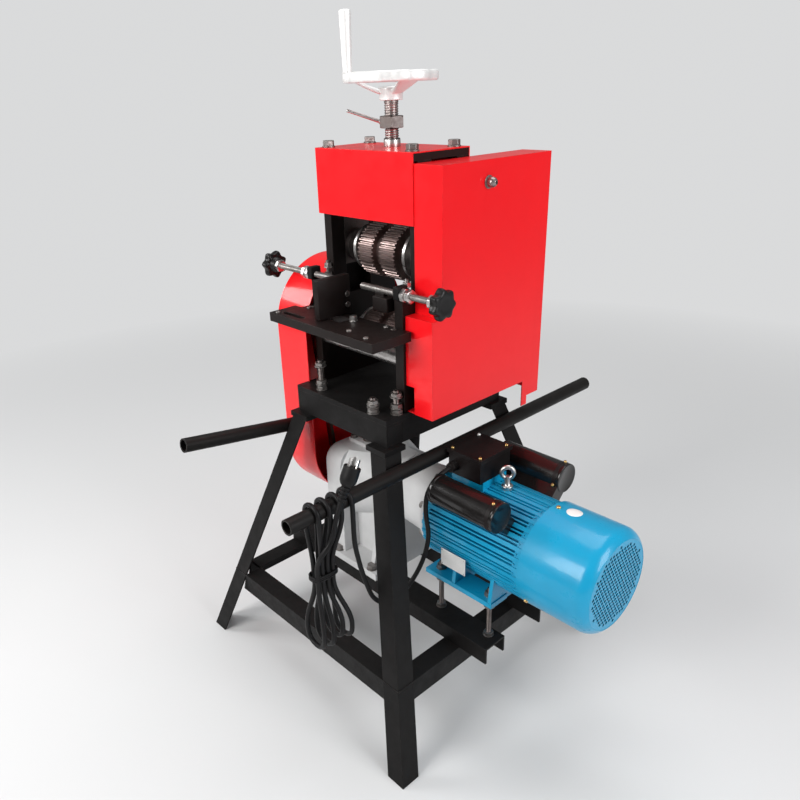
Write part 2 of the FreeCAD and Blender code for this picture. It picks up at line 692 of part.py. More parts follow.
def make_head_top():
    plate = box(-PLATE_OUTSIDE_X, PLATE_OUTSIDE_X, TOP_FRONT_Y, PLATE_REAR_Y, PLATE_TOP, SHEET_BOTTOM)
    bush = rod_z(0, DRIVE_Y, SHEET_BOTTOM, HEAD_TOP + BUSH_HEIGHT, BUSH_RADIUS)
    bore = rod_z(0, DRIVE_Y, PLATE_TOP, HEAD_TOP + BUSH_HEIGHT, SCREW_DIAMETER / 2 + SHAFT_GAP)
    export("top_plate", joined(plate, bush).cut(bore))
    outer = box(-PLATE_OUTSIDE_X, PLATE_OUTSIDE_X, TOP_FRONT_Y - SHEET, PLATE_REAR_Y + SHEET,
                FRONT_COVER_BOTTOM, HEAD_TOP)
    inner = box(-PLATE_OUTSIDE_X, PLATE_OUTSIDE_X, TOP_FRONT_Y, PLATE_REAR_Y,
                FRONT_COVER_BOTTOM, SHEET_BOTTOM)
    hole = rod_z(0, DRIVE_Y, SHEET_BOTTOM, HEAD_TOP, BUSH_RADIUS + SHAFT_GAP)
    export("head_cover", outer.cut(inner).cut(hole))


def make_right_cover():
    outside = COVER_OUT_X
    inside = PLATE_OUTSIDE_X
    outer = joined(
        box(inside, outside, COVER_FRONT_Y, COVER_REAR_Y, COVER_STEP_Z, COVER_TOP),
        box(inside, outside, COVER_LOWER_FRONT_Y, COVER_REAR_Y, BASE_TOP, COVER_STEP_Z))
    lower = box(inside, outside - SHEET, COVER_LOWER_FRONT_Y + SHEET, COVER_REAR_Y - SHEET,
                BASE_TOP + SHEET, COVER_STEP_Z - SHEET)
    upper = box(inside, outside - SHEET, COVER_FRONT_Y + SHEET, COVER_REAR_Y - SHEET,
                COVER_STEP_Z - 2 * SHEET, COVER_TOP - SHEET)
    tail = [(COVER_TAIL_Y, BASE_TOP), (COVER_TAIL_Y, COVER_TAB_BOTTOM),
            (COVER_TAIL_Y + COVER_TAB_WIDTH, COVER_TAB_BOTTOM),
            (COVER_TAIL_Y + COVER_TAB_WIDTH, COVER_TAIL_BOTTOM),
            (COVER_REAR_Y, COVER_TAIL_BOTTOM), (COVER_REAR_Y, BASE_TOP)]
    tail_side = prism_x(tail, outside - SHEET, outside)
    tail_rear = box(inside, outside, COVER_REAR_Y - SHEET, COVER_REAR_Y, COVER_TAIL_BOTTOM, BASE_TOP)
    notch = box(inside, inside + COVER_NOTCH_WIDTH, COVER_LOWER_FRONT_Y, COVER_LOWER_FRONT_Y + SHEET,
                BASE_TOP, COVER_NOTCH_TOP)
    export("right_cover", joined(outer.cut(lower).cut(upper).cut(notch), tail_side, tail_rear))


def make_left_guard():
    inside = -PLATE_OUTSIDE_X
    outer = belt((0, GUARD_LOWER_Z, GUARD_RADIUS), (0, GUARD_UPPER_Z, GUARD_RADIUS), GUARD_OUT_X, inside)
    hollow = belt((0, GUARD_LOWER_Z, GUARD_RADIUS - SHEET), (0, GUARD_UPPER_Z, GUARD_RADIUS - SHEET),
                  GUARD_OUT_X + SHEET, inside)
    beam_notch = box(-BEAM_HALF_X - SEAT_GAP, inside, -GUARD_RADIUS, GUARD_RADIUS,
                     BEAM_BOTTOM - SEAT_GAP, BASE_TOP + SEAT_GAP)
    guard = outer.cut(hollow).cut(beam_notch)
    for side_y in (-1, 1):
        guard = guard.cut(leg_clip(LEFT, side_y)).cut(leg_envelope(LEFT, side_y))
    export("left_guard", largest(guard))


def make_table():
    half = TABLE_HALF_X
    bottom = TABLE_TOP - TABLE_THICK
    plate = box(-half, half, TABLE_FRONT_Y, PLATE_STEP_FRONT_Y, bottom, TABLE_TOP)
    guard_room = box(-half, -PLATE_OUTSIDE_X, -GUARD_RADIUS - TABLE_GUARD_GAP, PLATE_STEP_FRONT_Y,
                     bottom, TABLE_TOP)
    slot_half = (TABLE_SLOT_LENGTH - TABLE_SLOT_WIDTH) / 2
    slot = joined(
        box(TABLE_SLOT_X - slot_half, TABLE_SLOT_X + slot_half, TABLE_SLOT_Y - TABLE_SLOT_WIDTH / 2,
            TABLE_SLOT_Y + TABLE_SLOT_WIDTH / 2, bottom, TABLE_TOP),
        rod_z(TABLE_SLOT_X - slot_half, TABLE_SLOT_Y, bottom, TABLE_TOP, TABLE_SLOT_WIDTH / 2),
        rod_z(TABLE_SLOT_X + slot_half, TABLE_SLOT_Y, bottom, TABLE_TOP, TABLE_SLOT_WIDTH / 2))
    window = box(TABLE_WINDOW_X - TABLE_WINDOW_LENGTH / 2, TABLE_WINDOW_X + TABLE_WINDOW_LENGTH / 2,
                 TABLE_WINDOW_Y - TABLE_WINDOW_WIDTH / 2, TABLE_WINDOW_Y + TABLE_WINDOW_WIDTH / 2,
                 bottom, TABLE_TOP)
    export("feed_table", plate.cut(guard_room).cut(slot).cut(window))
    export("tie_bar", rod_x(-PLATE_INSIDE_X, PLATE_INSIDE_X, TIE_Y, TIE_Z, TIE_DIAMETER / 2))


def make_guides():
    screw_radius = GUIDE_SCREW_DIAMETER / 2
    for name, side, knob_x in (("left", LEFT, LEFT_KNOB_X), ("right", RIGHT, RIGHT_KNOB_X)):
        lug_outside = LUG_INSIDE_X + LUG_THICK
        first_nut = lug_outside + GUIDE_NUT_THICK
        second_nut = first_nut + GUIDE_NUT_GAP
        lug = joined(
            box(side * LUG_INSIDE_X, side * lug_outside, GUIDE_Y - LUG_HALF_DEPTH, GUIDE_Y + LUG_HALF_DEPTH,
                PLATE_STEP_Z, PLATE_STEP_Z + LUG_HEIGHT),
            hex_x(side * lug_outside, side * first_nut, GUIDE_Y, GUIDE_Z, GUIDE_NUT_FLATS),
            rod_x(side * first_nut, side * second_nut, GUIDE_Y, GUIDE_Z,
                  GUIDE_SPACER_RADIUS),
            hex_x(side * second_nut, side * (second_nut + GUIDE_NUT_THICK), GUIDE_Y, GUIDE_Z,
                  GUIDE_NUT_FLATS))
        bore = rod_x(0, side * knob_x, GUIDE_Y, GUIDE_Z, screw_radius + SHAFT_GAP)
        export("guide_lug_" + name, lug.cut(bore))
        collar_x = knob_x - KNOB_HUB_LENGTH
        screw = joined(
            rod_x(side * GUIDE_ROD_INNER_X, side * knob_x, GUIDE_Y, GUIDE_Z, screw_radius),
            hex_x(side * (collar_x - GUIDE_NUT_THICK), side * collar_x, GUIDE_Y, GUIDE_Z, GUIDE_NUT_FLATS))
        export("guide_screw_" + name, screw)
        knob = joined(
            rod_x(side * collar_x, side * knob_x, GUIDE_Y, GUIDE_Z, KNOB_HUB_RADIUS),
            lobed_knob(side * knob_x, side * (knob_x + KNOB_THICK)))
        socket = rod_x(side * collar_x, side * knob_x, GUIDE_Y, GUIDE_Z, screw_radius)
        export("guide_knob_" + name, knob.cut(socket))
        ear_x = GUIDE_BLOCK_INNER_X + GUIDE_EAR_WIDTH
        block = joined(
            box(side * GUIDE_BLOCK_INNER_X, side * GUIDE_BLOCK_OUTER_X, GUIDE_Y - LUG_HALF_DEPTH,
                GUIDE_Y + LUG_HALF_DEPTH, GUIDE_BLOCK_BOTTOM, GUIDE_BLOCK_TOP),
            box(side * GUIDE_BLOCK_INNER_X, side * ear_x, GUIDE_Y - GUIDE_EAR_RADIUS,
                GUIDE_Y + GUIDE_EAR_RADIUS, GUIDE_BLOCK_TOP, GUIDE_Z),
            rod_x(side * GUIDE_BLOCK_INNER_X, side * ear_x, GUIDE_Y, GUIDE_Z, GUIDE_EAR_RADIUS))
        export("guide_block_" + name, block.cut(bore))


def lobes(count, radius, depth):
    """Points round a scalloped outline: crest, slope, hollow and slope for each lobe."""
    points = []
    for index in range(4 * count):
        angle = index * math.pi / (2 * count)
        reach = radius - depth * (1 - math.cos(count * angle)) / 2
        points.append((reach * math.cos(angle), reach * math.sin(angle)))
    return points


def arc_face(points):
    """A face inside arcs that each run from slope to slope over a crest or a hollow."""
    total = len(points)
    arcs = [Part.Arc(points[i - 1], points[i], points[(i + 1) % total]).toShape()
            for i in range(0, total, 2)]
    return Part.Face(Part.Wire(arcs))


def lobed_knob(x0, x1):
    """A star knob: round lobes joined by round hollows."""
    points = [vec(x0, GUIDE_Y + u, GUIDE_Z + v) for u, v in lobes(KNOB_LOBES, KNOB_RADIUS, KNOB_LOBE_DEPTH)]
    return arc_face(points).extrude(vec(x1 - x0, 0, 0))


def make_rollers():
    ring_out = ROLLER_GROOVE / 2 + ROLLER_RING_WIDTH
    collar_out = ring_out + ROLLER_COLLAR_LENGTH
    for name, z in (("lower", LOWER_ROLLER_Z), ("upper", UPPER_ROLLER_Z)):
        rings = [toothed_disc(ROLLER_TEETH, ROLLER_TIP_RADIUS, ROLLER_TIP_RADIUS - ROLLER_TOOTH_HEIGHT,
                              ROLLER_TIP_SHARE, ROLLER_ROOT_SHARE, side * ROLLER_GROOVE / 2,
                              side * ring_out, DRIVE_Y, z)
                 for side in (LEFT, RIGHT)]
        core = rod_x(-ROLLER_GROOVE / 2, ROLLER_GROOVE / 2, DRIVE_Y, z, ROLLER_GROOVE_RADIUS)
        collars = rod_x(-collar_out, collar_out, DRIVE_Y, z, ROLLER_COLLAR_RADIUS)
        bore = rod_x(-collar_out, collar_out, DRIVE_Y, z, ROLLER_SHAFT_DIAMETER / 2)
        export("roller_" + name, joined(core, rings[0], rings[1], collars).cut(bore))
    shaft_radius = ROLLER_SHAFT_DIAMETER / 2
    drive_radius = DRIVE_SHAFT_DIAMETER / 2
    to_counter = math.atan2(COUNTER_Z - LOWER_ROLLER_Z, COUNTER_Y - DRIVE_Y)
    half_step = math.pi / GEAR_TEETH
    gear_end = GEAR_START_X + GEAR_WIDTH
    chain_end = TRANSFER_START_X + TRANSFER_TOOTH_WIDTH
    main_end = MAIN_START_X + MAIN_TOOTH_WIDTH
    lower = joined(
        rod_x(-PLATE_OUTSIDE_X, GEAR_START_X, DRIVE_Y, LOWER_ROLLER_Z, shaft_radius),
        rod_x(MAIN_START_X, -PLATE_OUTSIDE_X, DRIVE_Y, LOWER_ROLLER_Z, drive_radius),
        rod_x(GEAR_START_X, gear_end, DRIVE_Y, LOWER_ROLLER_Z, drive_radius),
        spur_gear(GEAR_START_X, gear_end, DRIVE_Y, LOWER_ROLLER_Z, to_counter),
        rod_x(main_end, main_end + MAIN_TOOTH_WIDTH, DRIVE_Y, LOWER_ROLLER_Z,
              SPROCKET_HUB_RADIUS),
        sprocket(MAIN_PITCH, MAIN_LARGE_TEETH, MAIN_TOOTH_WIDTH, MAIN_START_X, DRIVE_Y, LOWER_ROLLER_Z))
    export("lower_shaft", lower)
    upper = joined(
        rod_x(-PLATE_OUTSIDE_X + RUN_GAP, PLATE_OUTSIDE_X, DRIVE_Y, UPPER_ROLLER_Z, shaft_radius),
        rod_x(PLATE_OUTSIDE_X, chain_end, DRIVE_Y, UPPER_ROLLER_Z, drive_radius),
        sprocket(TRANSFER_PITCH, TRANSFER_TEETH, TRANSFER_TOOTH_WIDTH, TRANSFER_START_X, DRIVE_Y,
                 UPPER_ROLLER_Z))
    export("upper_shaft", upper)
    counter = joined(
        rod_x(PLATE_INSIDE_X, chain_end, COUNTER_Y, COUNTER_Z, drive_radius),
        spur_gear(GEAR_START_X, gear_end, COUNTER_Y, COUNTER_Z, to_counter + math.pi + half_step),
        rod_x(PLATE_OUTSIDE_X + RUN_GAP, GEAR_START_X, COUNTER_Y, COUNTER_Z,
              COUNTER_COLLAR_RADIUS),
        sprocket(TRANSFER_PITCH, TRANSFER_TEETH, TRANSFER_TOOTH_WIDTH, TRANSFER_START_X, COUNTER_Y,
                 COUNTER_Z))
    export("counter_shaft", counter)
    export("transfer_chain", chain(TRANSFER_PITCH, TRANSFER_TEETH, COUNTER_Y, COUNTER_Z, TRANSFER_TEETH,
                                   DRIVE_Y, UPPER_ROLLER_Z, TRANSFER_TOOTH_WIDTH, TRANSFER_START_X))
    export("drive_chain", chain(MAIN_PITCH, MAIN_SMALL_TEETH, DRIVE_Y, MOTOR_AXIS_Z, MAIN_LARGE_TEETH,
                                DRIVE_Y, LOWER_ROLLER_Z, MAIN_TOOTH_WIDTH, MAIN_START_X))
    output = joined(
        rod_x(MAIN_START_X, REDUCER_FRONT_X + OUTPUT_SHAFT_DEPTH - SHAFT_END_GAP, DRIVE_Y, MOTOR_AXIS_Z,
              OUTPUT_SHAFT_DIAMETER / 2),
        sprocket(MAIN_PITCH, MAIN_SMALL_TEETH, MAIN_TOOTH_WIDTH, MAIN_START_X, DRIVE_Y, MOTOR_AXIS_Z))
    export("output_shaft", output)


def make_crosshead():
    bore = rod_z(0, DRIVE_Y, CROSSHEAD_BOTTOM, CROSSHEAD_BOSS_TOP, SCREW_DIAMETER / 2 + SHAFT_GAP)
    block_half = WINDOW_WIDTH / 2 - RUN_GAP
    inside = PLATE_INSIDE_X - RUN_GAP
    outside = PLATE_OUTSIDE_X - RUN_GAP
    top = CROSSHEAD_BOTTOM + CROSSHEAD_HEIGHT
    parts = [box(-inside, inside, DRIVE_Y - block_half, DRIVE_Y + block_half, CROSSHEAD_BOTTOM, top),
             rod_z(0, DRIVE_Y, top, CROSSHEAD_BOSS_TOP, CROSSHEAD_BOSS_RADIUS)]
    for side in (LEFT, RIGHT):
        parts.append(box(side * inside, side * outside, DRIVE_Y - block_half, DRIVE_Y + block_half,
                         UPPER_ROLLER_Z - BLOCK_HALF_HEIGHT, top))
        parts.append(rod_x(side * inside, side * (inside - FLANGE_THICK), DRIVE_Y, UPPER_ROLLER_Z,
                           FLANGE_RADIUS))
    shaft_room = rod_x(-outside, outside, DRIVE_Y, UPPER_ROLLER_Z, ROLLER_SHAFT_DIAMETER / 2 + SHAFT_GAP)
    foot_room = rod_z(0, DRIVE_Y, CROSSHEAD_BOTTOM, CROSSHEAD_BOTTOM + SCREW_FOOT_THICK + 2 * RUN_GAP,
                      SCREW_FOOT_RADIUS + RUN_GAP)
    export("crosshead", joined(*parts).cut(bore).cut(shaft_room).cut(foot_room))


def make_screw_and_wheel():
    radius = SCREW_DIAMETER / 2
    hub_top = WHEEL_HUB_BOTTOM + WHEEL_HUB_HEIGHT
    foot_bottom = CROSSHEAD_BOTTOM + RUN_GAP
    collar_bottom = CROSSHEAD_BOSS_TOP + RUN_GAP
    screw = joined(rod_z(0, DRIVE_Y, foot_bottom, hub_top, radius),
                   rod_z(0, DRIVE_Y, foot_bottom, foot_bottom + SCREW_FOOT_THICK, SCREW_FOOT_RADIUS),
                   rod_z(0, DRIVE_Y, collar_bottom, collar_bottom + COLLAR_THICK, COLLAR_RADIUS))
    export("feed_screw", screw)
    nut_top = LOCK_NUT_BOTTOM + LOCK_NUT_HEIGHT
    nut_middle = (LOCK_NUT_BOTTOM + nut_top) / 2
    turn = math.radians(LEVER_TURN)
    tilt = math.radians(LEVER_TILT)
    along = vec(math.cos(turn) * math.cos(tilt), math.sin(turn) * math.cos(tilt), math.sin(tilt))
    lever = Part.makeCylinder(LEVER_DIAMETER / 2, LEVER_LENGTH, vec(0, DRIVE_Y, nut_middle - LEVER_DIAMETER),
                              along)
    nut = joined(hex_z(0, DRIVE_Y, LOCK_NUT_BOTTOM, nut_top, LOCK_NUT_FLATS), lever)
    export("lock_nut", nut.cut(rod_z(0, DRIVE_Y, LOCK_NUT_BOTTOM, nut_top, radius + SHAFT_GAP)))
    export("handwheel", handwheel(radius, hub_top))
    grip_x, grip_y = grip_place()
    bottom = WHEEL_RIM_BOTTOM + WHEEL_RIM_HEIGHT + RUN_GAP
    top = bottom + GRIP_HEIGHT
    lower = GRIP_LOWER_DIAMETER / 2
    upper = GRIP_UPPER_DIAMETER / 2
    grip = revolved_z([(0, bottom), (lower, bottom), (upper, top - GRIP_ROUNDING),
                      (upper - GRIP_ROUNDING, top), (0, top)],
                      grip_x, grip_y)
    hole = rod_z(grip_x, grip_y, bottom, top - GRIP_PIN_SHORT + GRIP_PIN_ROOM,
                 GRIP_PIN_DIAMETER / 2 + SHAFT_GAP)
    export("wheel_grip", grip.cut(hole))


def grip_place():
    angle = math.radians(GRIP_ANGLE)
    return GRIP_RADIUS * math.cos(angle), DRIVE_Y + GRIP_RADIUS * math.sin(angle)


def handwheel(screw_radius, hub_top):
    """A dished wheel: a lobed rim, a hub and flat spokes that climb from hub to rim."""
    points = [vec(u, DRIVE_Y + v, WHEEL_RIM_BOTTOM)
              for u, v in lobes(WHEEL_LOBES, WHEEL_RIM_RADIUS, WHEEL_LOBE_DEPTH)]
    rim_top = WHEEL_RIM_BOTTOM + WHEEL_RIM_HEIGHT
    rim = arc_face(points).extrude(vec(0, 0, WHEEL_RIM_HEIGHT))
    rim_inside = WHEEL_RIM_RADIUS - WHEEL_RIM_WIDTH
    rim = rim.cut(rod_z(0, DRIVE_Y, WHEEL_RIM_BOTTOM, rim_top, rim_inside))
    parts = [rim, rod_z(0, DRIVE_Y, WHEEL_HUB_BOTTOM, hub_top, WHEEL_HUB_RADIUS)]
    hub_reach = WHEEL_HUB_RADIUS - WHEEL_SPOKE_LAP
    rim_reach = rim_inside + WHEEL_SPOKE_LAP
    for spoke in range(WHEEL_SPOKES):
        low = hub_top - WHEEL_SPOKE_THICK - WHEEL_SPOKE_LAP
        high = WHEEL_RIM_BOTTOM + WHEEL_SPOKE_LAP
        profile = [vec(hub_reach, -WHEEL_SPOKE_WIDTH / 2, low), vec(rim_reach, -WHEEL_SPOKE_WIDTH / 2, high),
                   vec(rim_reach, -WHEEL_SPOKE_WIDTH / 2, high + WHEEL_SPOKE_THICK),
                   vec(hub_reach, -WHEEL_SPOKE_WIDTH / 2, low + WHEEL_SPOKE_THICK)]
        arm = Part.Face(Part.makePolygon(profile + [profile[0]])).extrude(vec(0, WHEEL_SPOKE_WIDTH, 0))
        arm.rotate(vec(0, 0, 0), vec(0, 0, 1), GRIP_ANGLE + spoke * 360 / WHEEL_SPOKES)
        arm.translate(vec(0, DRIVE_Y, 0))
        parts.append(arm)
    grip_x, grip_y = grip_place()
    parts.append(rod_z(grip_x, grip_y, rim_top, rim_top + GRIP_HEIGHT - GRIP_PIN_SHORT,
                       GRIP_PIN_DIAMETER / 2))
    return joined(*parts).cut(rod_z(0, DRIVE_Y, WHEEL_HUB_BOTTOM, hub_top, screw_radius))


def make_reducer():
    y = DRIVE_Y
    box_end = REDUCER_FRONT_X + REDUCER_BOX_LENGTH
    foot_top = RAIL_TOP + REDUCER_FOOT_THICK
    housing = box(REDUCER_FRONT_X, box_end, y - REDUCER_HALF_WIDTH, y + REDUCER_HALF_WIDTH, RAIL_TOP,
                  REDUCER_TOP)
    corners = [edge for edge in housing.Edges
               if edge.BoundBox.XLength > REDUCER_BOX_LENGTH / 2 and edge.BoundBox.ZMin > foot_top]
    housing = housing.makeFillet(REDUCER_CORNER, corners)
    cone = revolved_x([(box_end - REDUCER_LAP, 0), (box_end - REDUCER_LAP, REDUCER_CONE_START),
                       (REDUCER_CONE_END_X, REDUCER_CONE_END), (REDUCER_END_X, REDUCER_CONE_END),
                       (REDUCER_END_X, 0)], y, MOTOR_AXIS_Z)
    cone = cone.common(box(REDUCER_FRONT_X, REDUCER_END_X, y - REDUCER_HALF_WIDTH, y + REDUCER_HALF_WIDTH,
                           RAIL_TOP, REDUCER_TOP))
    foot_start = REDUCER_FRONT_X + REDUCER_FOOT_SETBACK
    foot = box(foot_start, REDUCER_END_X, y - REDUCER_FOOT_HALF_WIDTH, y + REDUCER_FOOT_HALF_WIDTH,
               RAIL_TOP, foot_top)
    pedestal = box(foot_start, REDUCER_END_X, y - REDUCER_PEDESTAL_HALF_WIDTH,
                   y + REDUCER_PEDESTAL_HALF_WIDTH, RAIL_TOP, MOTOR_AXIS_Z)
    rib_foot = REDUCER_FOOT_HALF_WIDTH - REDUCER_RIB_MARGIN
    rib_end = REDUCER_END_X - REDUCER_RIB_SETBACK
    rib = prism_x([(y - rib_foot, RAIL_TOP), (y + rib_foot, RAIL_TOP),
                   (y + REDUCER_PEDESTAL_HALF_WIDTH, MOTOR_AXIS_Z),
                   (y - REDUCER_PEDESTAL_HALF_WIDTH, MOTOR_AXIS_Z)],
                  rib_end - REDUCER_RIB_THICK, rib_end)
    lid = box(REDUCER_LID_START_X, REDUCER_LID_START_X + REDUCER_LID_LENGTH, y - REDUCER_LID_HALF_WIDTH,
              y + REDUCER_LID_HALF_WIDTH, REDUCER_TOP - REDUCER_LID_THICK, REDUCER_TOP + REDUCER_LID_THICK)
    flange_start = MOTOR_START_X - ADAPTER_FLANGE_THICK
    first_end = REDUCER_END_X + ADAPTER_FLANGE_THICK
    adapter = revolved_x([(REDUCER_END_X, 0), (REDUCER_END_X, REDUCER_CONE_END),
                          (first_end, REDUCER_CONE_END), (first_end, ADAPTER_RADIUS),
                          (flange_start, ADAPTER_RADIUS + ADAPTER_TAPER),
                          (flange_start, ADAPTER_FLANGE_RADIUS), (MOTOR_START_X, ADAPTER_FLANGE_RADIUS),
                          (MOTOR_START_X, 0)], y, MOTOR_AXIS_Z)
    shaft_hole = rod_x(REDUCER_FRONT_X, REDUCER_FRONT_X + OUTPUT_SHAFT_DEPTH, y, MOTOR_AXIS_Z,
                       OUTPUT_SHAFT_DIAMETER / 2 + SHAFT_GAP)
    export("gear_reducer", joined(housing, cone, foot, pedestal, rib, lid, adapter).cut(shaft_hole))


def make_motor():
    y = DRIVE_Y
    z = MOTOR_AXIS_Z
    fins = toothed_disc(MOTOR_FINS, MOTOR_FIN_RADIUS, MOTOR_CORE_RADIUS, MOTOR_FIN_SHARE,
                        MOTOR_FIN_SHARE, MOTOR_START_X, MOTOR_END_X, y, z, math.pi / MOTOR_FINS)
    end_ring = rod_x(MOTOR_END_X - MOTOR_RING_WIDTH, MOTOR_END_X, y, z, MOTOR_FIN_RADIUS - SHEET)
    front_ring = rod_x(MOTOR_START_X, MOTOR_START_X + MOTOR_RING_WIDTH, y, z, MOTOR_FIN_RADIUS - SHEET)
    foot_top = MOTOR_FOOT_BOTTOM + MOTOR_FOOT_THICK
    foot_end = MOTOR_FOOT_START_X + MOTOR_FOOT_LENGTH
    foot = box(MOTOR_FOOT_START_X, foot_end, y - MOTOR_FOOT_HALF_WIDTH, y + MOTOR_FOOT_HALF_WIDTH,
               MOTOR_FOOT_BOTTOM, foot_top)
    half_gap = MOTOR_FOOT_HALF_WIDTH - MOTOR_FOOT_PAD_WIDTH
    gap = box(MOTOR_FOOT_START_X, foot_end, y - half_gap, y + half_gap, MOTOR_FOOT_BOTTOM, foot_top)
    web_top = MOTOR_FOOT_HALF_WIDTH - MOTOR_FOOT_RIB_TAPER
    web = [(y - MOTOR_FOOT_HALF_WIDTH, MOTOR_FOOT_BOTTOM), (y + MOTOR_FOOT_HALF_WIDTH, MOTOR_FOOT_BOTTOM),
           (y + web_top, MOTOR_FOOT_RIB_TOP), (y - web_top, MOTOR_FOOT_RIB_TOP)]
    webs = [prism_x(web, rib_x, rib_x + MOTOR_FOOT_RIB_THICK) for rib_x in MOTOR_FOOT_RIBS_X]
    body = joined(fins, end_ring, front_ring, foot.cut(gap), *webs)
    terminal_end = TERMINAL_START_X + TERMINAL_LENGTH
    seat = box(TERMINAL_START_X, terminal_end, y - TERMINAL_NECK_HALF_WIDTH, y + TERMINAL_NECK_HALF_WIDTH,
               z, TERMINAL_BOTTOM)
    body = joined(body, seat)
    for bolt_x in MOTOR_FOOT_BOLTS_X:
        for side in (-1, 1):
            body = body.cut(rod_z(bolt_x, y + side * MOTOR_FOOT_BOLT_Y, MOTOR_FOOT_BOTTOM, foot_top,
                                  STUD_DIAMETER / 2 + SEAT_GAP))
    shaft_start = MOTOR_END_X - MOTOR_SHAFT_DEPTH
    body = body.cut(rod_x(shaft_start, MOTOR_END_X, y, z, MOTOR_SHAFT_DIAMETER / 2 + SHAFT_GAP))
    export("motor_body", body)
    export("fan_cowl", fan_cowl(y, z))
    fan_start = MOTOR_END_X + FAN_START_GAP
    fan_end = fan_start + FAN_WIDTH
    parts = [rod_x(shaft_start + SHAFT_END_GAP, fan_end, y, z, MOTOR_SHAFT_DIAMETER / 2),
             rod_x(fan_start, fan_end, y, z, FAN_HUB_RADIUS),
             rod_x(fan_start, fan_start + FAN_BLADE_THICK, y, z, FAN_RADIUS)]
    for blade in range(FAN_BLADES):
        vane = box(fan_start, fan_end, y - FAN_BLADE_THICK / 2, y + FAN_BLADE_THICK / 2,
                   z + FAN_HUB_RADIUS - FAN_BLADE_THICK, z + FAN_RADIUS)
        vane.rotate(vec(0, y, z), vec(1, 0, 0), 360 * blade / FAN_BLADES)
        parts.append(vane)
    export("motor_fan", joined(*parts))
    box_solid = box(TERMINAL_START_X, terminal_end, y - TERMINAL_HALF_WIDTH, y + TERMINAL_HALF_WIDTH,
                    TERMINAL_BOTTOM, TERMINAL_TOP - TERMINAL_LID_THICK)
    lid = box(TERMINAL_START_X - TERMINAL_LID_LIP, terminal_end + TERMINAL_LID_LIP,
              y - TERMINAL_HALF_WIDTH - TERMINAL_LID_LIP, y + TERMINAL_HALF_WIDTH + TERMINAL_LID_LIP,
              TERMINAL_TOP - TERMINAL_LID_THICK, TERMINAL_TOP)
    gland = Part.makeCylinder(GLAND_RADIUS, GLAND_LENGTH, vec(GLAND_X, y - TERMINAL_HALF_WIDTH, GLAND_Z),
                              vec(0, -1, 0))
    export("terminal_box", joined(box_solid, lid, gland))
    for name, side in (("front", -1), ("rear", 1)):
        export("capacitor_" + name, capacitor(y, z, side))


def capacitor(y, z, side):
    """A round capacitor on a saddle that reaches down to the fins."""
    middle_y = y + side * CAPACITOR_Y
    end = CAPACITOR_START_X + CAPACITOR_LENGTH
    can = rod_x(CAPACITOR_START_X, end, middle_y, CAPACITOR_Z, CAPACITOR_RADIUS)
    lean = math.atan2(z - CAPACITOR_Z, y - middle_y)
    reach = math.hypot(y - middle_y, z - CAPACITOR_Z)
    across_y = -math.sin(lean) * CAPACITOR_SADDLE_WIDTH / 2
    across_z = math.cos(lean) * CAPACITOR_SADDLE_WIDTH / 2
    foot_y = middle_y + math.cos(lean) * reach * CAPACITOR_SADDLE_SHARE
    foot_z = CAPACITOR_Z + math.sin(lean) * reach * CAPACITOR_SADDLE_SHARE
    saddle = prism_x([(middle_y + across_y, CAPACITOR_Z + across_z),
                      (middle_y - across_y, CAPACITOR_Z - across_z),
                      (foot_y - across_y, foot_z - across_z), (foot_y + across_y, foot_z + across_z)],
                     CAPACITOR_START_X, end)
    return joined(can, saddle).cut(rod_x(MOTOR_START_X, MOTOR_END_X, y, z, MOTOR_FIN_RADIUS))


def fan_cowl(y, z):
    """The fan's cowl: a drawn cup with a rounded edge and a honeycomb of holes in its end."""
    outer = rod_x(MOTOR_END_X, COWL_END_X, y, z, COWL_RADIUS)
    rounded = [edge for edge in outer.Edges if edge.BoundBox.XMin > COWL_END_X - PAST]
    outer = outer.makeFillet(COWL_EDGE, rounded)
    inner = rod_x(MOTOR_END_X - PAST, COWL_END_X - SHEET, y, z, COWL_RADIUS - SHEET)
    rounded = [edge for edge in inner.Edges if edge.BoundBox.XMin > COWL_END_X - SHEET - PAST]
    inner = inner.makeFillet(COWL_EDGE - SHEET, rounded)
    cowl = outer.cut(inner)
    holes = []
    for row in range(-COWL_HOLE_RINGS, COWL_HOLE_RINGS + 1):
        for column in range(-COWL_HOLE_RINGS, COWL_HOLE_RINGS + 1):
            if abs(row + column) <= COWL_HOLE_RINGS:
                hole_y = y + COWL_HOLE_PITCH * (column + row / 2)
                hole_z = z + COWL_HOLE_PITCH * row * math.sqrt(3) / 2
                turned = [(hole_y + v, hole_z + u) for u, v in hexagon(COWL_HOLE_SIZE)]
                holes.append(prism_x(turned, COWL_END_X - SHEET - PAST, COWL_END_X + PAST))
    return cowl.cut(Part.makeCompound(holes))


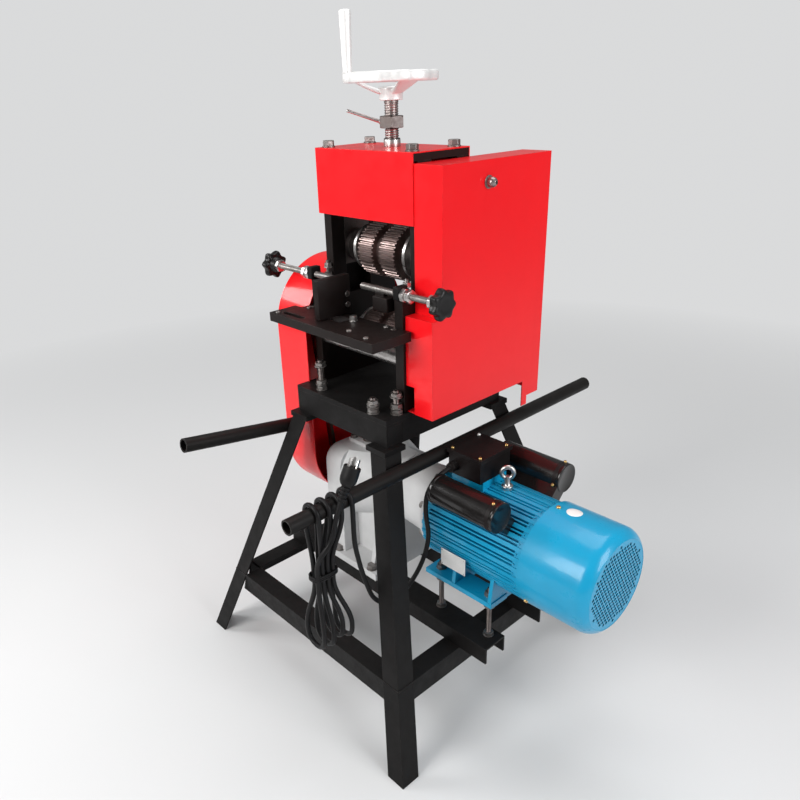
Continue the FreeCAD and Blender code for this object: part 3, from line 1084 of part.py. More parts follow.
def make_fasteners():
    """Bolts, studs and nuts, the acorn nut on the cover and the motor's lifting eye."""
    pieces = []
    for side in (LEFT, RIGHT):
        for bolt_y in HEAD_BOLTS_Y:
            pieces.append(hex_z(side * HEAD_BOLT_X, bolt_y, HEAD_TOP, HEAD_TOP + HEAD_BOLT_THICK,
                                HEAD_BOLT_FLATS))
    for stud_x, stud_y, height in BASE_STUDS:
        stud = rod_z(stud_x, stud_y, BASE_TOP, BASE_TOP + height, BASE_STUD_DIAMETER / 2)
        top_level = height - BASE_STUD_NUT_THICK - BASE_STUD_TIP
        for level in (0, BASE_STUD_NUT_THICK + BASE_STUD_WASHER, top_level):
            nut_bottom = BASE_TOP + level
            stud = stud.fuse(hex_z(stud_x, stud_y, nut_bottom, nut_bottom + BASE_STUD_NUT_THICK,
                                   BASE_STUD_FLATS))
        pieces.append(stud.removeSplitter())
    foot_top = MOTOR_FOOT_BOTTOM + MOTOR_FOOT_THICK
    for bolt_x in MOTOR_FOOT_BOLTS_X:
        for side in (-1, 1):
            bolt_y = DRIVE_Y + side * MOTOR_FOOT_BOLT_Y
            levels = (RAIL_TOP, MOTOR_FOOT_BOTTOM - STUD_NUT_THICK, foot_top)
            nuts = [hex_z(bolt_x, bolt_y, level, level + STUD_NUT_THICK, STUD_NUT_FLATS)
                    for level in levels]
            stud = rod_z(bolt_x, bolt_y, RAIL_TOP, foot_top + 2 * STUD_NUT_THICK, STUD_DIAMETER / 2)
            pieces.append(joined(stud, *nuts))
    acorn = rod_x(COVER_OUT_X, COVER_OUT_X + ACORN_RADIUS, ACORN_Y, ACORN_Z, ACORN_RADIUS)
    dome = Part.makeSphere(ACORN_RADIUS, vec(COVER_OUT_X + ACORN_RADIUS, ACORN_Y, ACORN_Z))
    pieces.append(joined(acorn, dome))
    eye_base = MOTOR_AXIS_Z + MOTOR_FIN_RADIUS
    neck_top = eye_base + EYE_COLLAR_THICK + EYE_NECK_LENGTH
    eye_z = neck_top + EYE_RING_RADIUS - EYE_WIRE_RADIUS / 2
    eye_turn = math.radians(EYE_TURN)
    eye = Part.makeTorus(EYE_RING_RADIUS, EYE_WIRE_RADIUS, vec(EYE_X, DRIVE_Y, eye_z),
                         vec(math.sin(eye_turn), -math.cos(eye_turn), 0))
    collar = rod_z(EYE_X, DRIVE_Y, eye_base, eye_base + EYE_COLLAR_THICK, EYE_COLLAR_RADIUS)
    neck = rod_z(EYE_X, DRIVE_Y, eye_base, neck_top, EYE_NECK_RADIUS)
    pieces.append(joined(collar, neck, eye))
    export("fasteners", *pieces)


def unit(vector):
    return vector * (1 / vector.Length)


def rounded_route(points, name):
    """Straight runs joined by tangent arcs as large as the runs allow."""
    edges = []
    radii = []
    start = points[0]
    for before, corner, after in zip(points, points[1:], points[2:]):
        arriving = unit(corner - before)
        leaving = unit(after - corner)
        turn = arriving.getAngle(leaving)
        shorter = min((corner - before).Length, (after - corner).Length)
        cut = CORD_BEND_SHARE * shorter
        radius = cut / math.tan(turn / 2)
        radii.append(round(radius / CORD_DIAMETER, 1))
        first = corner - arriving * cut
        last = corner + leaving * cut
        inward = unit(leaving - arriving)
        centre = corner + inward * (radius / math.cos(turn / 2))
        middle = centre - inward * radius
        edges.append(Part.LineSegment(start, first).toShape())
        edges.append(Part.Arc(first, middle, last).toShape())
        start = last
    edges.append(Part.LineSegment(start, points[-1]).toShape())
    print(name, "bend radii in diameters:", radii)
    return Part.Wire(edges)


def swept(path, name):
    start = path.Edges[0].valueAt(path.Edges[0].FirstParameter)
    direction = path.Edges[0].tangentAt(path.Edges[0].FirstParameter)
    section = Part.Wire(Part.makeCircle(CORD_RADIUS, start, direction))
    tube = path.makePipeShell([section], True, False)
    expected = math.pi * CORD_RADIUS ** 2 * path.Length
    print(name, "length", round(path.Length), "volume ratio", round(tube.Volume / expected, 5))
    return tube


def s_bend(start, end):
    """Two equal arcs from start to end, upright at both ends."""
    rise = end.z - start.z
    shift = vec(end.x - start.x, end.y - start.y, 0)
    middle = (start + end) * 0.5
    radius = (rise * rise + shift.Length ** 2) / (4 * shift.Length)
    half = math.atan2(shift.Length, abs(rise))
    upward = 1 if rise > 0 else -1
    via = start + unit(shift) * (radius * (1 - math.cos(half))) + vec(0, 0, upward * radius * math.sin(half))
    return [Part.Arc(start, via, middle).toShape(), Part.Arc(middle, start + end - via, end).toShape()]


def hank_path():
    """The loops of the hank: over the pole, through the waist, round below and back up."""
    pole_x = beside_leg(POLE_HEIGHT)
    top_half = POLE_RADIUS + CORD_RADIUS + RUN_GAP
    waist_top = HANK_WAIST_Z + HANK_WAIST_LENGTH / 2
    waist_bottom = HANK_WAIST_Z - HANK_WAIST_LENGTH / 2
    middle = (HANK_LOOPS - 1) / 2

    def at(side, half, base_y, pitch, index, z):
        return vec(pole_x + side * half, base_y - (index - middle) * pitch, z)

    edges = []
    top = at(1, top_half, HANK_TOP_Y, HANK_TOP_PITCH, 0, POLE_HEIGHT)
    edges.append(Part.LineSegment(top - vec(0, 0, HANK_START_DROP), top).toShape())
    for loop in range(HANK_LOOPS):
        over = at(1, top_half, HANK_TOP_Y, HANK_TOP_PITCH, loop, POLE_HEIGHT)
        down = at(-1, top_half, HANK_TOP_Y, HANK_TOP_PITCH, loop, POLE_HEIGHT)
        crest = at(0, 0, HANK_TOP_Y, HANK_TOP_PITCH, loop, POLE_HEIGHT + top_half)
        edges.append(Part.Arc(over, crest, down).toShape())
        in_top = at(-1, HANK_WAIST_HALF, HANK_WAIST_Y, HANK_WAIST_PITCH, loop, waist_top)
        in_low = at(-1, HANK_WAIST_HALF, HANK_WAIST_Y, HANK_WAIST_PITCH, loop, waist_bottom)
        edges.extend(s_bend(down, in_top))
        edges.append(Part.LineSegment(in_top, in_low).toShape())
        low_z = HANK_BOTTOM_Z - HANK_DROPS[loop]
        low = at(-1, HANK_BOTTOM_RADIUS, HANK_BOTTOM_Y, HANK_BOTTOM_PITCH, loop, low_z)
        low_far = at(1, HANK_BOTTOM_RADIUS, HANK_BOTTOM_Y, HANK_BOTTOM_PITCH, loop, low_z)
        foot = at(0, 0, HANK_BOTTOM_Y, HANK_BOTTOM_PITCH, loop, low_z - HANK_BOTTOM_RADIUS)
        edges.extend(s_bend(in_low, low))
        edges.append(Part.Arc(low, foot, low_far).toShape())
        out_low = at(1, HANK_WAIST_HALF, HANK_WAIST_Y, HANK_WAIST_PITCH, loop + 0.5, waist_bottom)
        out_top = at(1, HANK_WAIST_HALF, HANK_WAIST_Y, HANK_WAIST_PITCH, loop + 0.5, waist_top)
        edges.extend(s_bend(low_far, out_low))
        if loop < HANK_LOOPS - 1:
            edges.append(Part.LineSegment(out_low, out_top).toShape())
            following = at(1, top_half, HANK_TOP_Y, HANK_TOP_PITCH, loop + 1, POLE_HEIGHT)
            edges.extend(s_bend(out_top, following))
        else:
            end = vec(out_top.x, out_top.y, HANK_END_Z)
            edges.append(Part.LineSegment(out_low, end).toShape())
    return Part.Wire(edges)


def least_gap(path, spacing):
    """The smallest gap between parts of the tube that lie apart along it."""
    points = path.discretize(Distance=spacing)
    skip = int(4 * CORD_DIAMETER / spacing)
    nearest = min((points[i] - points[j]).Length for i in range(len(points))
                  for j in range(i + skip, len(points)))
    return nearest - CORD_DIAMETER


def make_cord():
    hank = hank_path()
    print("hank least gap to itself:", round(least_gap(hank, 4.0), 2))
    export("cord_hank", swept(hank, "hank"))
    hank_start = hank.Edges[0].valueAt(hank.Edges[0].FirstParameter)
    hank_end = hank.Edges[-1].valueAt(hank.Edges[-1].LastParameter)
    gland_mouth = vec(GLAND_X, DRIVE_Y - TERMINAL_HALF_WIDTH - GLAND_LENGTH, GLAND_Z)
    entry = hank_start - vec(0, 0, HANK_ENTRY_LENGTH)
    supply = [gland_mouth] + [vec(*point) for point in SUPPLY_ROUTE] + [entry, hank_start]
    export("supply_cord", swept(rounded_route(supply, "supply cord"), "supply cord"))
    plug_base = vec(*PLUG_BASE)
    rising = hank_end + vec(0, 0, LEAD_START_LENGTH)
    lead = [hank_end, rising] + [vec(*point) for point in LEAD_ROUTE] + [plug_base]
    export("plug_lead", swept(rounded_route(lead, "plug lead"), "plug lead"))
    waist_y = HANK_WAIST_Y - 0.25 * HANK_WAIST_PITCH
    half_y = (HANK_LOOPS - 0.5) / 2 * HANK_WAIST_PITCH + CORD_RADIUS
    half_x = HANK_WAIST_HALF + CORD_RADIUS
    pole_x = beside_leg(POLE_HEIGHT)
    tie_bottom = HANK_WAIST_Z - TIE_HALF_HEIGHT
    tie_top = HANK_WAIST_Z + TIE_HALF_HEIGHT
    inner = box(pole_x - half_x, pole_x + half_x, waist_y - half_y, waist_y + half_y, tie_bottom, tie_top)
    outer = box(pole_x - half_x - TIE_BAND, pole_x + half_x + TIE_BAND, waist_y - half_y - TIE_BAND,
                waist_y + half_y + TIE_BAND, tie_bottom, tie_top)
    export("hank_tie", outer.cut(inner))
    export("plug", plug(plug_base, unit(plug_base - vec(*LEAD_ROUTE[-1]))))


def plug(base, axis):
    """A moulded three-pin plug on its ribbed relief, with its pins along the axis."""
    profile = [(0, 0), (CORD_RADIUS + PAST, 0)]
    pitch = PLUG_RELIEF_LENGTH / PLUG_RIBS
    groove = PLUG_RELIEF_RADIUS - PLUG_RIB_DEPTH
    for rib in range(PLUG_RIBS):
        low = rib * pitch
        profile.append((groove, low + pitch / 6))
        profile.append((PLUG_RELIEF_RADIUS, low + pitch / 3))
        profile.append((PLUG_RELIEF_RADIUS, low + pitch * 5 / 6))
        profile.append((groove, low + pitch))
    body_top = PLUG_RELIEF_LENGTH + PLUG_BODY_LENGTH
    profile.append((PLUG_BODY_RADIUS - 2 * PLUG_RIB_DEPTH, PLUG_RELIEF_LENGTH + PLUG_NECK))
    profile.append((PLUG_BODY_RADIUS, PLUG_RELIEF_LENGTH + PLUG_SHOULDER))
    profile.append((PLUG_BODY_RADIUS, body_top))
    profile.append((0, body_top))
    pins = []
    for angle in (0, 120, 240):
        pin = box(-PLUG_PIN_WIDTH / 2, PLUG_PIN_WIDTH / 2, PLUG_PIN_OFFSET - PLUG_PIN_THICK / 2,
                  PLUG_PIN_OFFSET + PLUG_PIN_THICK / 2, body_top - PLUG_RIB_DEPTH,
                  body_top + PLUG_PIN_LENGTH)
        pin.rotate(vec(0, 0, 0), vec(0, 0, 1), angle)
        pins.append(pin)
    whole = joined(revolved_z(profile, 0, 0), *pins)
    whole.Placement = FreeCAD.Placement(base, FreeCAD.Rotation(vec(0, 0, 1), axis))
    return whole


make_stand()
make_base()
make_poles()
make_side_plates()
make_head_top()
make_right_cover()
make_left_guard()
make_table()
make_guides()
make_rollers()
make_crosshead()
make_screw_and_wheel()
make_reducer()
make_motor()
make_fasteners()
make_cord()
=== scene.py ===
import bpy, bmesh, math
from mathutils import Vector, Matrix


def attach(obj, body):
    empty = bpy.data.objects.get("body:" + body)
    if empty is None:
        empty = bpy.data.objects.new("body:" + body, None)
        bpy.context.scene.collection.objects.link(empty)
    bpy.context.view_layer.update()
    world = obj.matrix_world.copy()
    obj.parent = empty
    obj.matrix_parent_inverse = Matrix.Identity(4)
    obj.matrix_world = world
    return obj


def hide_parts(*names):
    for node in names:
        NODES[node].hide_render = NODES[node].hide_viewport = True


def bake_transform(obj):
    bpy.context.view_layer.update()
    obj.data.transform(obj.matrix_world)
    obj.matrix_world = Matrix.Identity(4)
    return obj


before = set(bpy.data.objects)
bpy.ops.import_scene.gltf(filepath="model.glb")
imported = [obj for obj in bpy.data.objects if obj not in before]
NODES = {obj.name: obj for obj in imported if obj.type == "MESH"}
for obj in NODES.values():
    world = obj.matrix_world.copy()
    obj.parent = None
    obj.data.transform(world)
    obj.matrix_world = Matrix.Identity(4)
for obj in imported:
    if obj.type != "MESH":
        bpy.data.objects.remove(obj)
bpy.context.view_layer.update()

# The looks of the electric wire stripping machine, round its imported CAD. Places are given in
# the CAD's stand frame in millimetres, and at() turns them into the row frame in metres.
ROOT = "stand_and_head"
MID_X, MID_Y = 0.0995, 0.010
X_AXIS, Z_AXIS = (1, 0, 0), (0, 0, 1)
scene = bpy.context.scene
scene.view_settings.view_transform = "Standard"

# Places of the CAD that the pieces below stand on
SHAFT_Y = -4.0
LOWER_ROLLER_Z, UPPER_ROLLER_Z, ROLLER_END_X = 720.0, 884.0, 62.0
BASE_TOP, TABLE_TOP, PLATE_STEP, HEAD_TOP = 622.0, 780.0, 832.0, 1069.0
GUIDE_Y, GUIDE_Z = -107.0, 841.0
MOTOR_Z, MOTOR_END_X = 388.0, 385.0
TERMINAL_TOP, CAN_Z, CAN_OFFSET = 546.0, 489.0, 97.0
REDUCER_LID_TOP, REDUCER_FOOT_TOP, REDUCER_FRONT_X = 471.0, 216.0, -126.0
GLAND = (196.0, -63.0, 515.0)


def at(x, y, z):
    """A point of the stand frame in millimetres, in the row frame in metres."""
    return Vector((x / 1000 - MID_X, y / 1000 - MID_Y, z / 1000))


# ---------- camera ----------
CAMERA_PLACE = (0.90206, -0.97126, 1.168)
AZIMUTH, ELEVATION, ROLL = math.radians(48.4), math.radians(24.2), math.radians(-2.2)
FOCAL_LENGTH, SENSOR_WIDTH, NEAREST = 32.895, 36, 0.05
SHIFT = (0.0325, 0.01875)

back = Vector((math.sin(AZIMUTH) * math.cos(ELEVATION), -math.cos(AZIMUTH) * math.cos(ELEVATION),
               math.sin(ELEVATION)))
right = Vector((math.cos(AZIMUTH), math.sin(AZIMUTH), 0))
up = back.cross(right)
rolled_right = right * math.cos(ROLL) + up * math.sin(ROLL)
rolled_up = up * math.cos(ROLL) - right * math.sin(ROLL)
cam_data = bpy.data.cameras.new("camera")
cam = bpy.data.objects.new("camera", cam_data)
scene.collection.objects.link(cam)
cam.matrix_world = Matrix([(rolled_right[i], rolled_up[i], back[i], CAMERA_PLACE[i]) for i in range(3)]
                          + [(0, 0, 0, 1)])
cam_data.sensor_width = SENSOR_WIDTH
cam_data.lens = FOCAL_LENGTH
cam_data.shift_x, cam_data.shift_y = SHIFT
cam_data.clip_start = NEAREST
scene.camera = cam


# ---------- materials ----------
BEVEL_SAMPLES = 4


class Tree:
    """Short calls for building a node tree round one Principled shader."""

    def __init__(self, name):
        self.mat = bpy.data.materials.new(name)
        self.mat.use_nodes = True
        self.tree = self.mat.node_tree
        self.tree.nodes.clear()
        self.out = self.node("ShaderNodeOutputMaterial")
        self.bsdf = self.node("ShaderNodeBsdfPrincipled")
        self.link(self.bsdf.outputs[0], self.out.inputs[0])
        self.coord = self.node("ShaderNodeTexCoord").outputs["Object"]

    def node(self, kind, **settings):
        made = self.tree.nodes.new(kind)
        for key, value in settings.items():
            setattr(made, key, value)
        return made

    def link(self, a, b):
        self.tree.links.new(a, b)

    def stretched(self, scale):
        mapping = self.node("ShaderNodeMapping")
        mapping.inputs["Scale"].default_value = scale
        self.link(self.coord, mapping.inputs["Vector"])
        return mapping.outputs[0]

    def noise(self, scale, detail=3.0, rough=0.5, vector=None):
        made = self.node("ShaderNodeTexNoise")
        made.inputs["Scale"].default_value = scale
        made.inputs["Detail"].default_value = detail
        made.inputs["Roughness"].default_value = rough
        self.link(vector or self.coord, made.inputs["Vector"])
        return made.outputs["Fac"]

    def ramp(self, value, low, high, from_low=0.3, from_high=0.7):
        """Map from_low..from_high to low..high."""
        made = self.node("ShaderNodeMapRange")
        made.inputs["From Min"].default_value = from_low
        made.inputs["From Max"].default_value = from_high
        made.inputs["To Min"].default_value = low
        made.inputs["To Max"].default_value = high
        self.link(value, made.inputs["Value"])
        return made.outputs[0]

    def mix(self, fac, a, b):
        made = self.node("ShaderNodeMix", data_type="RGBA")
        self.link(fac, made.inputs["Factor"])
        for value, slot in ((a, made.inputs["A"]), (b, made.inputs["B"])):
            if isinstance(value, (tuple, list)):
                slot.default_value = (*value[:3], 1)
            else:
                self.link(value, slot)
        return made.outputs["Result"]

    def math(self, operation, a, b):
        made = self.node("ShaderNodeMath", operation=operation)
        for index, value in enumerate((a, b)):
            if isinstance(value, (int, float)):
                made.inputs[index].default_value = value
            else:
                self.link(value, made.inputs[index])
        return made.outputs[0]

    def bevel(self, radius):
        made = self.node("ShaderNodeBevel", samples=BEVEL_SAMPLES)
        made.inputs["Radius"].default_value = radius
        return made.outputs[0]

    def edge(self, radius):
        """About 1 on outer edges narrower than the radius, 0 on flats."""
        rounded = self.bevel(radius)
        geometry = self.node("ShaderNodeNewGeometry")
        dot = self.node("ShaderNodeVectorMath", operation="DOT_PRODUCT")
        self.link(rounded, dot.inputs[0])
        self.link(geometry.outputs["Normal"], dot.inputs[1])
        return self.ramp(dot.outputs["Value"], 1.0, 0.0, 0.8, 0.995)

    def upward(self):
        """1 on faces that look up, 0 on walls."""
        geometry = self.node("ShaderNodeNewGeometry")
        parts = self.node("ShaderNodeSeparateXYZ")
        self.link(geometry.outputs["Normal"], parts.inputs[0])
        return self.ramp(parts.outputs[2], 0.0, 1.0, 0.2, 0.95)

    def bump(self, height, distance, normal=None):
        made = self.node("ShaderNodeBump")
        made.inputs["Distance"].default_value = distance
        made.inputs["Strength"].default_value = 1.0
        self.link(height, made.inputs["Height"])
        if normal:
            self.link(normal, made.inputs["Normal"])
        return made.outputs[0]

    def dusted(self, color, roughness, amount, scale, least, dust_color, rougher):
        """Clouds of dust on the faces that look up."""
        clouds = self.ramp(self.noise(scale, 6, 0.7), least, 1.0, 0.35, 0.75)
        film = self.math("MULTIPLY", self.math("MULTIPLY", self.upward(), clouds), amount)
        return (self.mix(film, color, dust_color),
                self.math("ADD", roughness, self.math("MULTIPLY", film, rougher)))

    def surface(self, color, roughness, height, depth, round_edge):
        """Colour, roughness and a bump over rounded edges."""
        self.link(color, self.bsdf.inputs["Base Color"])
        self.link(roughness, self.bsdf.inputs["Roughness"])
        self.link(self.bump(height, depth, self.bevel(round_edge)), self.bsdf.inputs["Normal"])


def shade(color, factor):
    return tuple(min(1.0, c * factor) for c in color)


def paint(name, color, rough, coat=0.0, vary=0.12, peel=0.00004, peel_scale=180, wear=0.0,
          bare=(0.42, 0.41, 0.4), dust=0.0, round_edge=0.0012, spec=0.5, coat_rough=0.06):
    """Paint with clouded colour, orange peel, dust on top and bare metal on worn edges."""
    t = Tree(name)
    cloud = t.ramp(t.noise(5, 4, 0.6), 0, 1)
    mottle = t.ramp(t.noise(38, 5, 0.65), 0, 1)
    col = t.mix(cloud, shade(color, 1 - vary), shade(color, 1 + vary * 0.6))
    col = t.mix(t.math("MULTIPLY", mottle, 0.35), col, shade(color, 1 - vary * 1.6))
    roughness = t.ramp(mottle, rough * 0.85, min(1, rough * 1.25), 0, 1)
    if dust:
        col, roughness = t.dusted(col, roughness, dust, 24, 0.15, (0.36, 0.34, 0.32), 0.35)
    if wear:
        scratches = t.ramp(t.noise(70, 6, 0.75), 0.0, 1.0, 0.44, 0.62)
        worn = t.math("MULTIPLY", t.math("MULTIPLY", t.edge(0.0016), scratches), wear)
        col = t.mix(worn, col, bare)
    t.bsdf.inputs["Coat Weight"].default_value = coat
    t.bsdf.inputs["Coat Roughness"].default_value = coat_rough
    t.bsdf.inputs["Specular IOR Level"].default_value = spec
    t.surface(col, roughness, t.noise(peel_scale, 3, 0.5), peel, round_edge)
    return t.mat


def metal(name, color, rough, grain=(1, 1, 1), grain_depth=0.00003, vary=0.12, stain=0.0,
          stain_color=(0.09, 0.07, 0.055), metallic=1.0):
    """Bare metal with brushed grain and stained spots."""
    t = Tree(name)
    brushed = t.noise(260, 4, 0.6, t.stretched(grain))
    cloud = t.ramp(t.noise(30, 5, 0.65), 0, 1)
    col = t.mix(cloud, shade(color, 1 - vary), shade(color, 1 + vary))
    roughness = t.ramp(brushed, rough * 0.75, min(1, rough * 1.35))
    if stain:
        spots = t.math("MULTIPLY", t.ramp(t.noise(55, 6, 0.72), 0.0, 1.0, 0.48, 0.68), stain)
        col = t.mix(spots, col, stain_color)
        roughness = t.math("ADD", roughness, t.math("MULTIPLY", spots, 0.35))
    t.bsdf.inputs["Metallic"].default_value = metallic
    t.surface(col, roughness, brushed, grain_depth, 0.0006)
    return t.mat


def plastic(name, color, rough, grain=0.00003, grain_scale=900, vary=0.15, coat=0.0, dust=0.0, spec=0.3):
    """Moulded plastic or rubber with a fine grain."""
    t = Tree(name)
    cloud = t.ramp(t.noise(18, 5, 0.6), 0, 1)
    col = t.mix(cloud, shade(color, 1 - vary), shade(color, 1 + vary))
    roughness = t.ramp(cloud, rough * 0.85, min(1, rough * 1.2), 0, 1)
    if dust:
        col, roughness = t.dusted(col, roughness, dust, 40, 0.1, (0.3, 0.28, 0.26), 0.3)
    t.bsdf.inputs["Coat Weight"].default_value = coat
    t.bsdf.inputs["Specular IOR Level"].default_value = spec
    t.surface(col, roughness, t.noise(grain_scale, 2, 0.5), grain, 0.001)
    return t.mat


BLACK = paint("black_enamel", (0.0085, 0.0078, 0.0078), 0.5, vary=0.25, peel=0.00005, wear=0.4,
              bare=(0.07, 0.06, 0.05), dust=0.015, spec=0.14)
PLATE = paint("head_plate_enamel", (0.0105, 0.0065, 0.0058), 0.42, vary=0.3, wear=0.5,
              bare=(0.12, 0.095, 0.085), dust=0.012, spec=0.2)
TUBE = paint("pole_enamel", (0.0085, 0.0072, 0.0068), 0.45, vary=0.3, wear=0.6, bare=(0.12, 0.1, 0.08),
             dust=0.02, spec=0.18)
RED = paint("red_enamel", (0.9, 0.006, 0.011), 0.34, coat=0.4, vary=0.04, peel=0.00002, peel_scale=160,
            wear=0.2, bare=(0.95, 0.3, 0.28), dust=0.006, round_edge=0.0018, coat_rough=0.08, spec=0.2)
BLUE = paint("blue_enamel", (0.004, 0.32, 0.56), 0.3, coat=0.3, vary=0.12, peel=0.00012, peel_scale=90,
             wear=0.25, bare=(0.2, 0.55, 0.72), dust=0.012, round_edge=0.0014, spec=0.3, coat_rough=0.1)
CAST = paint("grey_cast_paint", (0.62, 0.625, 0.63), 0.5, coat=0.06, vary=0.1, peel=0.0003, peel_scale=70,
             wear=0.25, bare=(0.7, 0.7, 0.71), dust=0.1, round_edge=0.003, coat_rough=0.25, spec=0.35)
STEEL = metal("zinc_steel", (0.62, 0.6, 0.585), 0.3, stain=0.25)
BOLT = metal("dull_zinc", (0.27, 0.255, 0.245), 0.4, stain=0.55)
DARK_STEEL = metal("dark_steel", (0.15, 0.13, 0.125), 0.38, stain=0.4)
ROLLER = metal("roller_steel", (0.3, 0.225, 0.21), 0.32, grain=(1, 6, 6), stain=0.4)
THREAD = metal("thread_steel", (0.33, 0.285, 0.275), 0.34, stain=0.5)
CHAIN = metal("oiled_chain", (0.12, 0.1, 0.085), 0.42, stain=0.7)
ALLOY = metal("wheel_alloy", (0.9, 0.895, 0.885), 0.42, grain=(1, 1, 9), grain_depth=0.00004, vary=0.03,
              metallic=0.4)
BRASS = metal("brass", (0.74, 0.5, 0.2), 0.28, stain=0.15, stain_color=(0.3, 0.18, 0.06))
PLATE_ALU = metal("bare_plate", (0.8, 0.8, 0.79), 0.36, grain=(18, 1, 1), vary=0.04, metallic=0.6)
BOX_PLASTIC = plastic("terminal_plastic", (0.0085, 0.006, 0.006), 0.42, grain=0.00006, dust=0.012, spec=0.2)
CAN_PLASTIC = plastic("capacitor_plastic", (0.008, 0.0068, 0.0065), 0.22, grain=0.00001, coat=0.2,
                      dust=0.008, spec=0.4)
KNOB_PLASTIC = plastic("knob_plastic", (0.0085, 0.0075, 0.0075), 0.38, coat=0.08, spec=0.25)
LABEL = plastic("bare_label", (0.82, 0.82, 0.8), 0.4, grain=0.00001, vary=0.02)
RUBBER = plastic("cord_jacket", (0.007, 0.0065, 0.007), 0.45, grain=0.00008, grain_scale=500, vary=0.3,
                 spec=0.2)

# The CAD nodes that stay in sight; every other node is replaced by a piece further down
FINISH = (
    (BLACK, "base_plate beam_front beam_left beam_rear beam_right leg_front_left leg_front_right "
            "leg_rear_left leg_rear_right ring_front ring_left ring_rear ring_right rail_front rail_rear"),
    (TUBE, "pole_right handle_front handle_rear"),
    (PLATE, "side_plate_left side_plate_right feed_table top_plate"),
    (RED, "right_cover left_guard head_cover"),
    (STEEL, "tie_bar lower_shaft upper_shaft counter_shaft output_shaft"),
    (DARK_STEEL, "crosshead"),
    (ROLLER, "roller_lower roller_upper"),
    (CHAIN, "drive_chain"),
    (BLUE, "motor_body"),
    (CAST, "gear_reducer"),
    (CAN_PLASTIC, "capacitor_front capacitor_rear"),
    (BOX_PLASTIC, "terminal_box"),
    (KNOB_PLASTIC, "motor_fan"),
)


def dress(obj, material):
    obj.data.materials.clear()
    obj.data.materials.append(material)


for material, nodes in FINISH:
    for node in nodes.split():
        dress(NODES[node], material)


# ---------- mesh helpers ----------
def linked(name, data):
    obj = bpy.data.objects.new(name, data)
    scene.collection.objects.link(obj)
    return obj


def by_angle(obj, degrees=32):
    """Smooth faces, with sharp edges over the angle."""
    limit = math.radians(degrees)
    bm = bmesh.new()
    bm.from_mesh(obj.data)
    for face in bm.faces:
        face.smooth = True
    for edge in bm.edges:
        edge.smooth = len(edge.link_faces) == 2 and edge.calc_face_angle(0) < limit
    bm.to_mesh(obj.data)
    bm.free()


def sewn(mesh, distance):
    """Weld a mesh's doubled points and turn its faces outwards."""
    bm = bmesh.new()
    bm.from_mesh(mesh)
    bmesh.ops.remove_doubles(bm, verts=bm.verts, dist=distance)
    bmesh.ops.recalc_face_normals(bm, faces=bm.faces)
    bm.to_mesh(mesh)
    bm.free()


def piece(name, verts, faces, material, angle=32):
    mesh = bpy.data.meshes.new(name)
    mesh.from_pydata([tuple(v) for v in verts], [], faces)
    sewn(mesh, 1e-7)
    obj = linked(name, mesh)
    by_angle(obj, angle)
    dress(obj, material)
    return obj


def flat_list(items):
    out = []
    for item in items:
        out.extend(flat_list(item) if isinstance(item, (list, tuple)) else [item])
    return out


def merged(name, parts, body=ROOT):
    """Join parts into one piece that rides a body; each part keeps its material."""
    parts = flat_list(parts)
    bm = bmesh.new()
    slots = []
    for part in parts:
        found = part.data.materials[0]
        if found not in slots:
            slots.append(found)
        before = len(bm.faces)
        bm.from_mesh(part.data)
        bm.faces.ensure_lookup_table()
        for face in bm.faces[before:]:
            face.material_index = slots.index(found)
    mesh = bpy.data.meshes.new(name)
    bm.to_mesh(mesh)
    bm.free()
    obj = linked(name, mesh)
    for found in slots:
        mesh.materials.append(found)
    for part in parts:
        bpy.data.objects.remove(part)
    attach(obj, body)
    return obj


def grown(name, parts, node, body=ROOT):
    """One merged piece that stands for a CAD node."""
    obj = merged(name, parts, body)
    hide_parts(node)
    return obj


def circle(count):
    return [2 * math.pi * i / count for i in range(count)]


def squared(value, power):
    """A sine or cosine pushed outwards, for a rounded rectangle."""
    return math.copysign(abs(value) ** power, value)


def tube_faces(rows, columns):
    """Quads between rows of points, each row a closed loop."""
    return [(k * columns + i, k * columns + (i + 1) % columns,
             (k + 1) * columns + (i + 1) % columns, (k + 1) * columns + i)
            for k in range(rows - 1) for i in range(columns)]


def ring_faces(rows, columns):
    """The same, with the last row joined to the first."""
    return [(k * columns + i, (k + 1) % rows * columns + i,
             (k + 1) % rows * columns + (i + 1) % columns, k * columns + (i + 1) % columns)
            for k in range(rows) for i in range(columns)]


def frame_of(axis):
    axis = Vector(axis).normalized()
    side = axis.orthogonal().normalized()
    return side, axis.cross(side), axis


def rings(name, sections, base, axis, material, closed=True, angle=32):
    """Skin a list of rings, each a list of (u, v, w) in metres about the axis through base."""
    side, other, along = frame_of(axis)
    count = len(sections[0])
    verts = [base + side * u + other * v + along * w for section in sections for u, v, w in section]
    faces = tube_faces(len(sections), count)
    if closed:
        faces.append(tuple(range(count))[::-1])
        faces.append(tuple(range(len(verts) - count, len(verts))))
    return piece(name, verts, faces, material, angle)


def lathe(name, profile, base, axis, material, segments=40, closed=True):
    """Turn (radius, along) millimetre pairs about the axis."""
    sections = [[(r / 1000 * math.cos(a), r / 1000 * math.sin(a), w / 1000) for a in circle(segments)]
                for r, w in profile]
    return rings(name, sections, base, axis, material, closed)


NUT_SEGMENTS, NUT_FACE, NUT_CHAMFER_FROM, NUT_CHAMFER_SLOPE, NUT_EDGE = 48, 0.93, 0.985, 0.55, 0.0002
WASHER_SHARE, WASHER_ROUND = 0.62, 0.4


